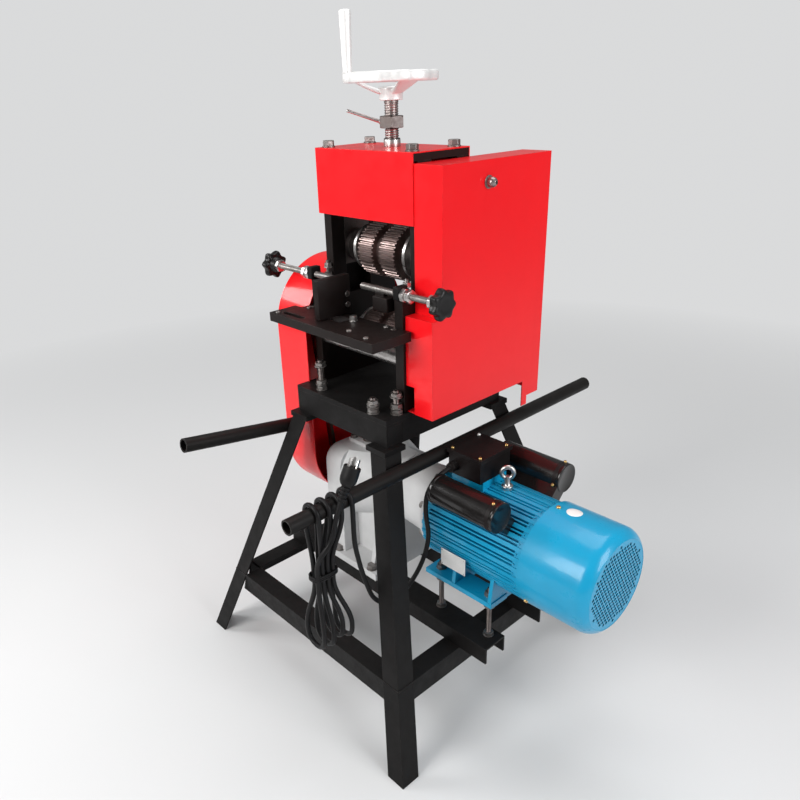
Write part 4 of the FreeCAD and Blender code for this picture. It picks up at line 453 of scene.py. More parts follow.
def hexnut(base, axis, flats, thick, material, turn=0.0, washer=0.0):
    """A chamfered hexagon, on a washer of that thickness if one is asked for."""
    flat = flats / 2000
    face = NUT_FACE * flat
    low, high = washer / 1000, (washer + thick) / 1000
    rows = [[], [], [], []]
    for angle in circle(NUT_SEGMENTS):
        local = (angle + turn) % (math.pi / 3) - math.pi / 6
        corner = flat / math.cos(local)
        drop = (corner - NUT_CHAMFER_FROM * flat) * NUT_CHAMFER_SLOPE + NUT_EDGE
        for row, r, w in zip(rows, (face, corner, corner, face), (low, low + drop, high - drop, high)):
            row.append((r * math.cos(angle), r * math.sin(angle), w))
    made = rings("nut", rows, base, axis, material, angle=24)
    if not washer:
        return made
    r = flats * WASHER_SHARE
    ring = [(r - WASHER_ROUND, 0), (r, 0.3), (r, washer - 0.3), (r - WASHER_ROUND, washer)]
    return [made, lathe("washer", ring, base, axis, material)]


THREAD_SEGMENTS = 24
THREAD_FORM = ((0.0, 0), (0.16, 0), (0.46, 1), (0.7, 1))


def threaded(base, axis, low, high, radius, pitch, material, depth):
    """A rod with a helical thread from low to high along the axis, in millimetres."""
    root = radius - depth
    turns = int((high - low) / pitch) + 3
    rows = len(THREAD_FORM) * turns
    side, other, along = frame_of(axis)
    verts = []
    for k in range(rows):
        share, crest = THREAD_FORM[k % 4]
        for i, a in enumerate(circle(THREAD_SEGMENTS)):
            w = low + pitch * (k // 4 - 1 + share + i / THREAD_SEGMENTS)
            reach = radius if crest else root
            if w <= low or w >= high:
                w = min(max(w, low), high)
                reach = root
            verts.append(base + (side * math.cos(a) + other * math.sin(a)) * (reach / 1000)
                         + along * (w / 1000))
    faces = []
    for k in range(rows):
        for i in range(THREAD_SEGMENTS):
            step = 4 if i == THREAD_SEGMENTS - 1 else 0
            j = (i + 1) % THREAD_SEGMENTS
            quad = (k * THREAD_SEGMENTS + i, (k + step) * THREAD_SEGMENTS + j,
                    (k + 1 + step) * THREAD_SEGMENTS + j, (k + 1) * THREAD_SEGMENTS + i)
            if max(quad) < len(verts):
                faces.append(quad)
    cap = [(root, low), (root, low + 0.3), (0.01, low + 0.3)]
    end = [(0.01, high - 0.3), (root, high - 0.3), (root, high), (0.01, high)]
    return [piece("thread", verts, faces, material, 75)] + [
        lathe("thread_end", profile, base, axis, material, THREAD_SEGMENTS) for profile in (cap, end)]


def block(low, high, material, bevel=1.0):
    """A box with rounded edges between two corners."""
    mesh = bpy.data.meshes.new("block")
    bm = bmesh.new()
    bmesh.ops.create_cube(bm, size=1.0)
    size = [abs(b - a) for a, b in zip(low, high)]
    middle = [(a + b) / 2 for a, b in zip(low, high)]
    for vert in bm.verts:
        vert.co = at(*[m + c * s for m, c, s in zip(middle, vert.co, size)])
    bmesh.ops.bevel(bm, geom=bm.edges, offset=bevel / 1000, segments=3, profile=0.5, affect="EDGES")
    bm.to_mesh(mesh)
    bm.free()
    obj = linked("block", mesh)
    by_angle(obj, 35)
    dress(obj, material)
    return obj


def pan_screw(base, axis, r, h, material):
    """A pan head with a round socket."""
    profile = [(r, -0.4), (r, h * 0.35), (r * 0.93, h * 0.75), (r * 0.75, h), (r * 0.45, h),
               (r * 0.42, h * 0.4), (0.01, h * 0.36)]
    return lathe("screw", profile, base, axis, material, 24)


# ---------- cord: one lead from the gland, through the hank, to the plug ----------
CORD_RADIUS = 0.0045
POLE_X = 161.843
LOOPS = 4
TOP_HALF, WAIST_HALF, BOTTOM_HALF = 18.8, 8.5, 24.0
TOP_Z, SHOULDER_Z, WAIST_HIGH_Z, WAIST_Z, WAIST_LOW_Z = 530, 502, 445, 409, 373
BOTTOM_Z, BOTTOM_RISE = 288, 28
DROPS = (6.0, -4.0, 3.0, -2.0)
# middle and pitch along Y of the loops, at the pole, at the tie and at the bottom
TOP_ROW, WAIST_ROW, BOTTOM_ROW = (-325.0, 24.0), (-343.0, 11.0), (-340.0, 21.0)
SUPPLY = [(194.5, -92.0, 511.0), (192.0, -121.0, 486.0), (191.0, -124.0, 440.0), (191.0, -112.0, 385.0),
          (188.0, -130.0, 330.0), (181.0, -166.0, 286.0), (172.0, -206.0, 266.0), (167.0, -240.0, 296.0),
          (168.0, -256.0, 342.0), (172.0, -271.0, 387.0), (179.0, -284.0, 430.0)]
HANK_START = [(180.643, -289.0, 454.0), (180.643, -289.0, 500.0)]
LEAD = [(184.0, -364.0, 462.0), (191.0, -342.0, 488.0), (190.0, -333.0, 527.0)]
PLUG_BASE = (192.0, -321.0, 554.0)


def row_y(row, index):
    middle, pitch = row
    return middle - (index - (LOOPS - 1) / 2) * pitch


def half_turn(half, angles, y, z):
    """Square-on corners whose curve is about a half circle."""
    reach = half / math.cos(math.radians(22.5))
    return [(POLE_X + reach * math.cos(math.radians(a)), y, z + reach * math.sin(math.radians(a)))
            for a in angles]


def hank_points():
    """Control points of the loops: over the pole, down one side, round the bottom and up."""
    points = []
    for loop in range(LOOPS):
        low = BOTTOM_Z - DROPS[loop]
        top, waist, bottom = row_y(TOP_ROW, loop), row_y(WAIST_ROW, loop), row_y(BOTTOM_ROW, loop)
        points += half_turn(TOP_HALF, (22.5, 67.5, 112.5, 157.5), top, TOP_Z)
        points.append((POLE_X - TOP_HALF, top, SHOULDER_Z))
        points += [(POLE_X - WAIST_HALF, waist, z) for z in (WAIST_HIGH_Z, WAIST_Z, WAIST_LOW_Z)]
        points.append((POLE_X - BOTTOM_HALF, bottom, low + BOTTOM_RISE))
        points += half_turn(BOTTOM_HALF, (202.5, 247.5, 292.5, 337.5), bottom, low)
        points.append((POLE_X + BOTTOM_HALF, bottom, low + BOTTOM_RISE))
        last = loop == LOOPS - 1
        rise = (WAIST_LOW_Z, 404, 436) if last else (WAIST_LOW_Z, WAIST_Z, WAIST_HIGH_Z)
        points += [(POLE_X + WAIST_HALF, row_y(WAIST_ROW, loop + 0.5), z) for z in rise]
        if not last:
            points.append((POLE_X + TOP_HALF, row_y(TOP_ROW, loop + 1), SHOULDER_Z))
    return points


route = [GLAND] + SUPPLY + HANK_START + hank_points() + LEAD + [PLUG_BASE]
curve = bpy.data.curves.new("supply_lead", "CURVE")
curve.dimensions = "3D"
spline = curve.splines.new("NURBS")
spline.points.add(len(route) - 1)
for point, place in zip(spline.points, route):
    point.co = (*at(*place), 1.0)
spline.order_u = 3
spline.use_endpoint_u = True
spline.resolution_u = 8
curve.bevel_depth = CORD_RADIUS
curve.bevel_resolution = 5
curve.use_fill_caps = True
lead = linked("supply_lead", curve)
curve.materials.append(RUBBER)
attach(lead, ROOT)
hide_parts("supply_cord", "cord_hank", "plug_lead")


# ---------- plug ----------
PLUG_RIBS, RIB_PITCH = 4, 6.5
RIB = ((6.0, 1.0), (7.8, 2.0), (8.0, 3.4), (7.8, 4.9), (6.0, 5.9))
PLUG_BODY = [(8.5, 26.5), (11.5, 29), (14.0, 34), (14.9, 40), (15.0, 46), (14.6, 53), (14.9, 57.5),
             (14.4, 60), (0.01, 60)]
PIN_OFFSET, PIN_HALF_WIDTH, PIN_HALF_THICK = 0.008, 0.003, 0.0008
PIN_ENDS = ((0.058, 1.0), (0.0735, 1.0), (0.075, 0.72))

plug_axis = Vector(PLUG_BASE) - Vector(LEAD[-1])
base = at(*PLUG_BASE)
profile = [(4.6, -1), (5.6, 0)]
profile += [(r, rib * RIB_PITCH + w) for rib in range(PLUG_RIBS) for r, w in RIB]
plug_parts = [lathe("plug_body", profile + PLUG_BODY, base, plug_axis, RUBBER, 48)]
side, other, along = frame_of(plug_axis)
for turn in (90, 210, 330):
    out = side * math.cos(math.radians(turn)) + other * math.sin(math.radians(turn))
    across = along.cross(out)
    corners = [base + out * PIN_OFFSET + along * w + across * (PIN_HALF_WIDTH * grow * u)
               + out * (PIN_HALF_THICK * grow * v)
               for w, grow in PIN_ENDS for u, v in ((-1, -1), (1, -1), (1, 1), (-1, 1))]
    faces = [(0, 1, 2, 3), (11, 10, 9, 8)] + tube_faces(3, 4)
    plug_parts.append(piece("pin", corners, faces, STEEL))
plug_piece = merged("plug_three_pin", plug_parts)
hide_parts("plug")


# ---------- feed screw, lock nut, handwheel, grip: profiles are (radius, height) ----------
THREAD_LOW, THREAD_HIGH, THREAD_RADIUS, THREAD_PITCH, THREAD_DEPTH = 1056.5, 1142, 12.45, 4.0, 1.5
SCREW_CORE = [
    (0.01, 949.3), (17.4, 949.3), (18, 949.9), (18, 955.7), (17.4, 956.3), (12.5, 956.3), (12.5, 1044.3),
    (19.4, 1044.3), (20, 1044.9), (20, 1050.7), (19.4, 1051.3), (12.5, 1051.3), (12.5, 1056),
    (11.2, 1057), (11.2, 1140), (12.5, 1141), (12.5, 1166.2), (11.6, 1167.4), (0.01, 1167.4)]
NUT_Z, LEVER_Z, LEVER_TURN, LEVER_TILT = 1100, 1104, math.radians(228), math.radians(19)
LEVER = [(0.01, 12), (4.2, 16), (4.2, 22), (3.1, 23), (2.5, 77), (2.9, 79), (3.0, 81), (2.3, 82.6),
         (0.01, 83)]
RIM = ((67.2, 1176), (68.6, 1174.3), (72, 1174), (80.5, 1174), (83, 1175.6), (84, 1179), (84, 1186.5),
       (83, 1189.6), (80.5, 1191), (72, 1191), (68.4, 1190.6), (67, 1188.8))
RIM_STEPS, RIM_MIDDLE_Z, RIM_INSIDE, RIM_WIDTH = 180, 1182.5, 72, 12
SCALLOPS, SCALLOP_DEPTH, SCALLOP_THINNING = 12, 3.4, 0.12
HUB = [(12.6, 1145), (19.3, 1145), (20.5, 1146.2), (20.5, 1156), (22.5, 1160), (22, 1165.5), (20.6, 1167),
       (12.6, 1167)]
SPOKES, SPOKE_ROWS, SPOKE_SEGMENTS = 3, 9, 20
SPOKE_START, SPOKE_END, SPOKE_LOW, SPOKE_HIGH = 17, 70, 1158.5, 1182
GRIP_TURN, GRIP_RADIUS = 227, 74
BOSS = [(0.01, 1190), (9.6, 1190), (9.6, 1190.9), (9, 1191.2), (4, 1191.2), (4, 1274), (0.01, 1274)]
GRIP = [(4.2, 1191.3), (7.0, 1191.3), (8.0, 1192.3), (8.2, 1198), (10.4, 1279), (10.5, 1282.6),
        (10.0, 1284.8), (8.6, 1286.1), (6.8, 1286.3), (6.4, 1285.6), (0.01, 1285.6)]

stem = at(0, SHAFT_Y, 0)
grown("feed_screw_thread", [
    lathe("screw_core", SCREW_CORE, stem, Z_AXIS, THREAD),
    threaded(stem, Z_AXIS, THREAD_LOW, THREAD_HIGH, THREAD_RADIUS, THREAD_PITCH, THREAD, THREAD_DEPTH)],
    "feed_screw", "feed_screw")
lever_axis = (math.cos(LEVER_TURN) * math.cos(LEVER_TILT), math.sin(LEVER_TURN) * math.cos(LEVER_TILT),
              math.sin(LEVER_TILT))
grown("lock_nut_lever", [
    hexnut(at(0, SHAFT_Y, NUT_Z), Z_AXIS, 41, 20, DARK_STEEL, turn=0.52),
    lathe("lever", LEVER, at(0, SHAFT_Y, LEVER_Z), lever_axis, STEEL, 24)], "lock_nut", "lock_nut")


def scalloped_rim():
    verts = []
    for a in circle(RIM_STEPS):
        dent = (0.5 - 0.5 * math.cos(SCALLOPS * a)) ** 1.6
        for r, z in RIM:
            outer = max(0.0, (r - RIM_INSIDE) / RIM_WIDTH)
            reach = r - SCALLOP_DEPTH * dent * outer
            height = (z - RIM_MIDDLE_Z) * (1 - SCALLOP_THINNING * dent * outer)
            verts.append(at(reach * math.cos(a), reach * math.sin(a) + SHAFT_Y, RIM_MIDDLE_Z + height))
    return piece("rim", verts, ring_faces(RIM_STEPS, len(RIM)), ALLOY, 50)


def spoke(degrees):
    """A spoke that rises and flares from the hub to the rim."""
    a = math.radians(degrees)
    out = Vector((math.cos(a), math.sin(a), 0))
    across = Vector((-math.sin(a), math.cos(a), 0))
    verts = []
    for k in range(SPOKE_ROWS):
        t = k / (SPOKE_ROWS - 1)
        r = SPOKE_START + (SPOKE_END - SPOKE_START) * t
        z = SPOKE_LOW + (SPOKE_HIGH - SPOKE_LOW) * t ** 1.25
        half, thick = 11.0 + 13.0 * t ** 1.5, 4.4 - 0.8 * t
        for b in circle(SPOKE_SEGMENTS):
            u, v = squared(math.cos(b), 0.55) * half, squared(math.sin(b), 0.7) * thick
            verts.append(stem + out * (r / 1000) + across * (u / 1000) + Vector((0, 0, (z + v) / 1000)))
    return piece("spoke", verts, tube_faces(SPOKE_ROWS, SPOKE_SEGMENTS), ALLOY, 60)


grip_place = at(GRIP_RADIUS * math.cos(math.radians(GRIP_TURN)),
                SHAFT_Y + GRIP_RADIUS * math.sin(math.radians(GRIP_TURN)), 0)
wheel = [scalloped_rim(), lathe("hub", HUB, stem, Z_AXIS, ALLOY, 64)]
wheel += [spoke(GRIP_TURN + 360 / SPOKES * k) for k in range(SPOKES)]
wheel.append(lathe("boss", BOSS, grip_place, Z_AXIS, ALLOY))
grown("handwheel_cast", wheel, "handwheel", "feed_screw")
grown("grip_turned", [lathe("grip", GRIP, grip_place, Z_AXIS, ALLOY, 48)], "wheel_grip", "wheel_grip")

# ---------- regulating screws, lugs, guides and star knobs ----------
LUG_INSIDE_X, LUG_OUTSIDE_X, SPACER_X, OUTER_NUT_X = 112.3, 126.3, 135.3, 138.3
LUG_HALF_Y, LUG_TOP = 12, 856
GUIDE_NUT = (22, 9)
ROD_THREAD_FROM, ROD_RADIUS, ROD_PITCH, ROD_DEPTH = 105.5, 6.0, 1.75, 0.95
FENCE_X = (-35, -22)
LOBES, LOBE_DEPTH, LOBE_FROM, KNOB_RADIUS, KNOB_STEPS = 7, 5.5, 0.55, 28, 126
KNOB_FACE = ((0.0, 0.8), (0.9, 1.0), (0.96, 2.4), (0.985, 4.6), (1.0, 8.5), (0.985, 12.4), (0.94, 15.2),
             (0.86, 16.8), (0.6, 17.2), (0.45, 16.4), (0.3, 16.2), (0.0, 16.2))
KNOB_HUB = [(6.2, -8), (12.2, -8), (13, -7.2), (15, 0), (17, 2.2), (17, 3)]


def star_rows():
    """Rings of the lobed knob, in metres: a lobe's dents fade towards the middle."""
    rows = []
    for share, w in KNOB_FACE:
        row = []
        for a in circle(KNOB_STEPS):
            dent = LOBE_DEPTH * (0.5 - 0.5 * math.cos(LOBES * a)) ** 0.85
            r = (KNOB_RADIUS * share - dent * max(0.0, (share - LOBE_FROM) / (1 - LOBE_FROM))) / 1000
            r = max(r, 0.00001)
            row.append((r * math.cos(a), r * math.sin(a), w / 1000))
        rows.append(row)
    return rows


def guide(name, side, knob_x, tip_x):
    """A regulating screw with its knob, lug and sliding guide, on one side of the head."""
    body = "guide_screw_" + name
    axis = (side, 0, 0)

    def along(x):
        return at(side * x, GUIDE_Y, GUIDE_Z)

    plain = [(0.01, tip_x), (5.2, tip_x), (6, tip_x + 0.8), (6, 105), (5, 106), (5, knob_x - 10),
             (0.01, knob_x - 10)]
    grown("guide_rod_" + name, [
        lathe("rod", plain, along(0), axis, BOLT, 32),
        threaded(along(0), axis, ROD_THREAD_FROM, knob_x - 8, ROD_RADIUS, ROD_PITCH, BOLT, ROD_DEPTH),
        hexnut(along(knob_x - 17), axis, *GUIDE_NUT, STEEL, turn=0.2)], "guide_screw_" + name, body)
    grown("guide_lug_nuts_" + name, [
        block((side * LUG_INSIDE_X, GUIDE_Y - LUG_HALF_Y, PLATE_STEP),
              (side * LUG_OUTSIDE_X, GUIDE_Y + LUG_HALF_Y, LUG_TOP), BLACK, 2.2),
        hexnut(along(LUG_OUTSIDE_X), axis, *GUIDE_NUT, STEEL, turn=0.1),
        lathe("spacer", [(6.2, 0), (9, 0), (9, 3), (6.2, 3)], along(SPACER_X), axis, THREAD),
        hexnut(along(OUTER_NUT_X), axis, *GUIDE_NUT, STEEL, turn=0.42)], "guide_lug_" + name)
    carrier = [block((side * 60, -119, 806), (side * 97, -95, 831), PLATE, 1.2),
               block((side * 60, -112, 828), (side * 82, -102, 837.5), PLATE, 1.0)]
    if name == "left":
        carrier.append(block((-62, -115, 808), (-34, -99, 829), PLATE, 1.2))
        carrier.append(block((FENCE_X[0], -176, 780.5), (FENCE_X[1], -100, 855), PLATE, 1.4))
        carrier += [pan_screw(at(FENCE_X[1], GUIDE_Y, z), X_AXIS, 5.5, 1.2, BOLT) for z in (818, 798)]
    grown("guide_slide_" + name, carrier, "guide_block_" + name, "guide_" + name)
    grown("star_knob_" + name, [
        rings("star", star_rows(), along(knob_x), axis, KNOB_PLASTIC, angle=50),
        lathe("knob_hub", KNOB_HUB, along(knob_x), axis, KNOB_PLASTIC, 48)], "guide_knob_" + name, body)


guide("left", -1, 243, 29)
guide("right", 1, 208, 21)


# ---------- bolts, studs, nuts, eye: the CAD's fasteners, with threads and chamfers ----------
M12_NUT, M12_HEAD, M10_NUT, M8_NUT = (19, 7.2), (19, 9.4), (17, 6.6), (13, 7)
BASE_STUDS = ((-76, -140, 62), (118, -121.5, 46), (84, -148, 30), (-76, 140, 46), (114, 140, 46))
RAIL_UNDERSIDE, MOTOR_STUD_TOP, MOTOR_NUT_LEVELS = 200, 309, (200, 267, 293)
ACORN = [(11, 0), (11, 1.6), (8.8, 1.8), (9, 2.6), (9, 7), (8.4, 10.5), (6.6, 14), (3.6, 16.6), (2.9, 17),
         (2.7, 13.5), (0.01, 13.2)]
EYE_X, EYE_NECK_Z, EYE_Z, EYE_TURN = 285, 483, 516, math.radians(40)
EYE_NECK = [(11, 0), (11, 6.6), (10, 8), (7.6, 9), (6, 12), (5.6, 22), (5, 26)]
EYE_RADIUS, EYE_WIRE, EYE_STEPS, EYE_SEGMENTS = 0.0112, 0.0043, 48, 16

gear = []
for side in (-1, 1):
    for y in (-62, 40):
        gear.append(hexnut(at(side * 108, y, HEAD_TOP), Z_AXIS, *M12_HEAD, BOLT,
                           turn=0.35 + y * 0.01 + side * 0.2, washer=2.4))
for x, y, height in BASE_STUDS:
    gear.append(threaded(at(x, y, BASE_TOP), Z_AXIS, 0, height, 6, 1.75, DARK_STEEL, 0.95))
    for low in (0, 11, height - 13.5):
        gear.append(hexnut(at(x, y, BASE_TOP + low), Z_AXIS, *M12_NUT, BOLT,
                           turn=0.3 * low + x * 0.01, washer=1.8))
for x in (187, 309):
    for y in (SHAFT_Y - 70, SHAFT_Y + 70):
        gear.append(threaded(at(x, y, 0), Z_AXIS, RAIL_UNDERSIDE, MOTOR_STUD_TOP, 5, 1.5, DARK_STEEL, 0.8))
        for low in MOTOR_NUT_LEVELS:
            gear.append(hexnut(at(x, y, low), Z_AXIS, *M10_NUT, BOLT, turn=low * 0.1 + x, washer=1.4))
gear.append(lathe("cover_nut", ACORN, at(190, 35, 1016), X_AXIS, THREAD))
gear.append(lathe("eye_neck", EYE_NECK, at(EYE_X, SHAFT_Y, EYE_NECK_Z), Z_AXIS, STEEL))
flat = Vector((math.cos(EYE_TURN), math.sin(EYE_TURN), 0))
upright = Vector(Z_AXIS)
facing = flat.cross(upright)
verts = [at(EYE_X, SHAFT_Y, EYE_Z) + facing * (EYE_WIRE * math.sin(b))
         + (flat * math.cos(a) + upright * math.sin(a)) * (EYE_RADIUS + EYE_WIRE * math.cos(b))
         for a in circle(EYE_STEPS) for b in circle(EYE_SEGMENTS)]
gear.append(piece("eye_ring", verts, ring_faces(EYE_STEPS, EYE_SEGMENTS), STEEL))
grown("hardware", gear, "fasteners")

# ---------- trim of the head and the rollers, and a black sheet of painted shade ---
SLEEVE = [(13.2, 0), (14.7, 0), (15, 1), (15, 11.4), (14, 13.6), (13.2, 14.2), (12.7, 14.2), (12.7, 9)]
STEP_STUDS = ((114, -86), (-114, -76))
TABLE_SCREWS = ((93, -118), (113, -184), (60, -176), (-111, -131), (-132, -190))
FLANGE = [(16.5, 0), (42.6, 0), (43.6, 0.8), (43.6, 6.4), (42.6, 7.2), (24, 7.2), (23, 5.8), (16.5, 5.8)]

trim = [lathe("bush_sleeve", SLEEVE, at(0, SHAFT_Y, HEAD_TOP), Z_AXIS, STEEL),
        # a black sheet outside the left side plate over its slot: painted shade, dark where the red guard
        # would show through
        block((-128.2, -46, 782), (-126.02, 40, 852), BLACK, 0.3)]
for side in (-1, 1):
    for y in (-140, 140):  # caps of the open ends of the front and rear beams
        trim.append(block((side * 128.8, y - 19.6, 567.6), (side * 130.9, y + 19.6, 611.4), BLACK, 0.4))
for x, y in STEP_STUDS:
    trim.append(threaded(at(x, y, PLATE_STEP), Z_AXIS, 0, 31, 4, 1.25, BOLT, 0.7))
    trim.append(hexnut(at(x, y, PLATE_STEP), Z_AXIS, *M8_NUT, BOLT, turn=x, washer=1.4))
    trim.append(hexnut(at(x, y, PLATE_STEP + 17), Z_AXIS, *M8_NUT, STEEL, turn=0.4, washer=1.4))
trim.append(hexnut(at(20, -131, TABLE_TOP), Z_AXIS, 13, 8, STEEL, turn=0.2, washer=1.6))
trim += [pan_screw(at(x, y, TABLE_TOP), Z_AXIS, 5.0, 2.6, BOLT) for x, y in TABLE_SCREWS]
trim += [pan_screw(at(x, -118, TABLE_TOP), Z_AXIS, 5.5, 1.4, DARK_STEEL) for x in (-112, 112)]
merged("head_trim_and_shade_sheet", trim)
for name, z in (("lower_roller", LOWER_ROLLER_Z), ("upper_roller", UPPER_ROLLER_Z)):
    merged(name + "_flanges", [lathe("flange", FLANGE, at(side * ROLLER_END_X, SHAFT_Y, z), (side, 0, 0),
                                     STEEL, 72) for side in (-1, 1)], name)

# ---------- bolts of the reducer ----------
FLANGE_BOLTS, FLANGE_BOLT_RADIUS, FLANGE_BOLT_X = 8, 81, 145
CASE_BOLTS = ((-82.8, 434.56), (75.6, 434.56), (-82.8, 232.8), (75.6, 232.8))
CASE_BOLT_TURNS = (448, 448, 240, 240)

drive = []
for x in (-104, -36):
    for y in (-40, 32):
        drive.append(hexnut(at(x, y, REDUCER_LID_TOP), Z_AXIS, 13, 6, BOLT, turn=x * 0.03 + y, washer=1.2))
drive.append(hexnut(at(-70, -26, REDUCER_LID_TOP), Z_AXIS, 22, 8, BOLT, turn=0.3, washer=2.0))
for k in range(FLANGE_BOLTS):
    a = 2 * math.pi * (k + 0.5) / FLANGE_BOLTS
    place = at(FLANGE_BOLT_X, SHAFT_Y + FLANGE_BOLT_RADIUS * math.cos(a),
               MOTOR_Z + FLANGE_BOLT_RADIUS * math.sin(a))
    drive.append(hexnut(place, (-1, 0, 0), *M8_NUT, BOLT, turn=k, washer=1.4))
for (y, z), turn in zip(CASE_BOLTS, CASE_BOLT_TURNS):
    drive.append(hexnut(at(REDUCER_FRONT_X, y, z), (-1, 0, 0), *M8_NUT, BOLT, turn=turn, washer=1.4))
for x in (-96, 12):
    for y in (-105, 97):
        drive.append(hexnut(at(x, y, REDUCER_FOOT_TOP), Z_AXIS, 19, 9, BOLT, turn=x, washer=2.2))
merged("drive_bolts", drive)

# ---------- motor: cowl with a rounded shoulder, fins between the CAD's own ----------
COWL_R, COWL_Z, COWL_LENGTH, COWL_SHEET = 98.0, 391.0, 136.0, 1.5
SHOULDER, SHOULDER_TURN, SHOULDER_STEPS = 28.0, math.radians(62), 12
GRILLE_X, GRILLE_RADIUS, GRILLE_REACH, HOLE_PITCH, HOLE_SIZE = 519.6, 83.4, 74.5, 8.6, 6.6
FINS, FIN_X = 32, (168, 376)
FIN_PROFILE = ((79, 1.9), (94.6, 1.5))


def grille():
    """The cowl's end: a disc across X with hexagonal holes in a hexagonal pattern."""
    outline = bpy.data.curves.new("grille", "CURVE")
    outline.dimensions = "2D"
    outline.fill_mode = "BOTH"
    outline.extrude = COWL_SHEET / 2
    count = int(GRILLE_REACH / HOLE_PITCH) + 2
    places = [(0, 0, GRILLE_RADIUS, 96)]
    for row in range(-count, count + 1):
        for column in range(-2 * count, 2 * count + 1):
            u, v = HOLE_PITCH * (column + row / 2), HOLE_PITCH * row * math.sqrt(3) / 2
            if math.hypot(u, v) < GRILLE_REACH:
                places.append((u, v, HOLE_SIZE / 2, 6))
    for u, v, r, corners in places:
        ring = outline.splines.new("POLY")
        ring.points.add(corners - 1)
        for i, point in enumerate(ring.points):
            a = 2 * math.pi * (i + 0.5) / corners
            point.co = (u + r * math.cos(a), v + r * math.sin(a), 0, 1)
        ring.use_cyclic_u = True
    source = linked("grille_outline", outline)
    mesh = bpy.data.meshes.new_from_object(source)
    bpy.data.objects.remove(source)
    for vert in mesh.vertices:
        vert.co = at(GRILLE_X + vert.co.z, SHAFT_Y + vert.co.x, COWL_Z + vert.co.y)
    sewn(mesh, 1e-6)
    obj = linked("grille", mesh)
    by_angle(obj)
    dress(obj, BLUE)
    return obj


def cowl_profile(sheet):
    """The cowl's wall and shoulder, the sheet's thickness inside its outer face."""
    start = COWL_LENGTH - SHOULDER * math.sin(SHOULDER_TURN)
    turned = [SHOULDER_TURN * i / SHOULDER_STEPS for i in range(SHOULDER_STEPS + 1)]
    inner = SHOULDER - sheet
    return [(COWL_R - sheet - inner * (1 - math.cos(a)), start + inner * math.sin(a)) for a in turned]


def on_cowl(x, angle, lift=0.0):
    return at(x, SHAFT_Y + (COWL_R + lift) * math.cos(angle), COWL_Z + (COWL_R + lift) * math.sin(angle))


edge_ring = [(COWL_R - COWL_SHEET, 0.0)]
wall = edge_ring + [(COWL_R, 0.3)] + cowl_profile(0.0) + cowl_profile(COWL_SHEET)[::-1] + edge_ring
grown("fan_cowl_shell", [lathe("shell", wall, at(MOTOR_END_X, SHAFT_Y, COWL_Z), X_AXIS, BLUE, 128, False),
                         grille()], "fan_cowl")
fins = []
for a in circle(FINS):
    corners = [at(x, SHAFT_Y + r * math.cos(a) - t * math.sin(a), MOTOR_Z + r * math.sin(a) + t * math.cos(a))
               for x in FIN_X for r, half in FIN_PROFILE for t in (-half, half)]
    fins.append(piece("fin", corners, [(0, 1, 3, 2), (4, 6, 7, 5), (0, 2, 6, 4), (1, 5, 7, 3),
                                       (2, 3, 7, 6), (0, 4, 5, 1)], BLUE))
merged("motor_fins_between", fins)

# ---------- motor trim: terminal box, capacitors, screws, bare plate ----------
TERMINAL_SCREWS = ((184.5, 34, PLATE_ALU), (251, -42, BRASS), (184.5, -42, BRASS), (251, 34, BRASS))
GLAND_RIBS, GLAND_PITCH = 7, 1.6
GLAND_RIB = ((10.2, 0.0), (10.2, 0.9), (9.3, 1.0), (9.3, 1.5))
GLAND_NUT = [(9.3, 11.5), (8.8, 13.5), (6.6, 16.4), (4.7, 17), (4.6, 15)]
CAN_LIP = [(28, -0.6), (28.7, 0), (28.7, 5), (28.1, 6)]
CAN_STRAP = [(28.05, 0), (28.6, 0.2), (28.6, 7.8), (28.05, 8)]
CAN_END = [(28.2, -4), (28.6, -2), (28.2, 0.6), (26.4, 1.2), (25.6, 0.7), (0.01, 0.5)]
COWL_SCREWS, COWL_SCREW_X = (90, 215, 335), 397
PLATE_LOW, PLATE_HIGH = (212, -103.2, 330), (272, -102, 366)
PLATE_SCREWS_X, PLATE_SCREWS_Z = (215, 269), (333, 363)
STICKER_X, STICKER_TURN, STICKER_HALF, STICKER_STEPS = 425, math.radians(86), 14, 48
STICKER_ROWS = ((1.0, 0.05), (0.985, 0.28), (0.6, 0.28), (0.02, 0.28))

motor = [pan_screw(at(x, y, TERMINAL_TOP), Z_AXIS, 3.4, 2.6, mat) for x, y, mat in TERMINAL_SCREWS]
gland = [(9.2, -1)] + [(r, rib * GLAND_PITCH + w) for rib in range(GLAND_RIBS) for r, w in GLAND_RIB]
motor.append(lathe("gland_nut", gland + GLAND_NUT, at(GLAND[0], -47, GLAND[2]), (0, -1, 0), BOX_PLASTIC))
for side in (-1, 1):
    y = SHAFT_Y + side * CAN_OFFSET
    for x, profile, material in ((202, CAN_LIP, CAN_PLASTIC), (333, CAN_STRAP, BOX_PLASTIC),
                                 (347, CAN_END, CAN_PLASTIC)):
        motor.append(lathe("can", profile, at(x, y, CAN_Z), X_AXIS, material, 64))
    motor.append(pan_screw(at(338, y - side * 29.5, 484), (0, -side, 0), 3.2, 3.0, BRASS))
    motor.append(pan_screw(at(337, y + side * 8, 516.5), Z_AXIS, 3.2, 3.0, BRASS))
for degrees in COWL_SCREWS:
    a = math.radians(degrees)
    motor.append(pan_screw(on_cowl(COWL_SCREW_X, a), (0, math.cos(a), math.sin(a)), 4.2, 3.2, BRASS))
motor.append(block(PLATE_LOW, PLATE_HIGH, PLATE_ALU, 0.5))
motor += [pan_screw(at(x, PLATE_LOW[1], z), (0, -1, 0), 1.5, 0.9, STEEL)
          for x in PLATE_SCREWS_X for z in PLATE_SCREWS_Z]
merged("motor_trim", motor)

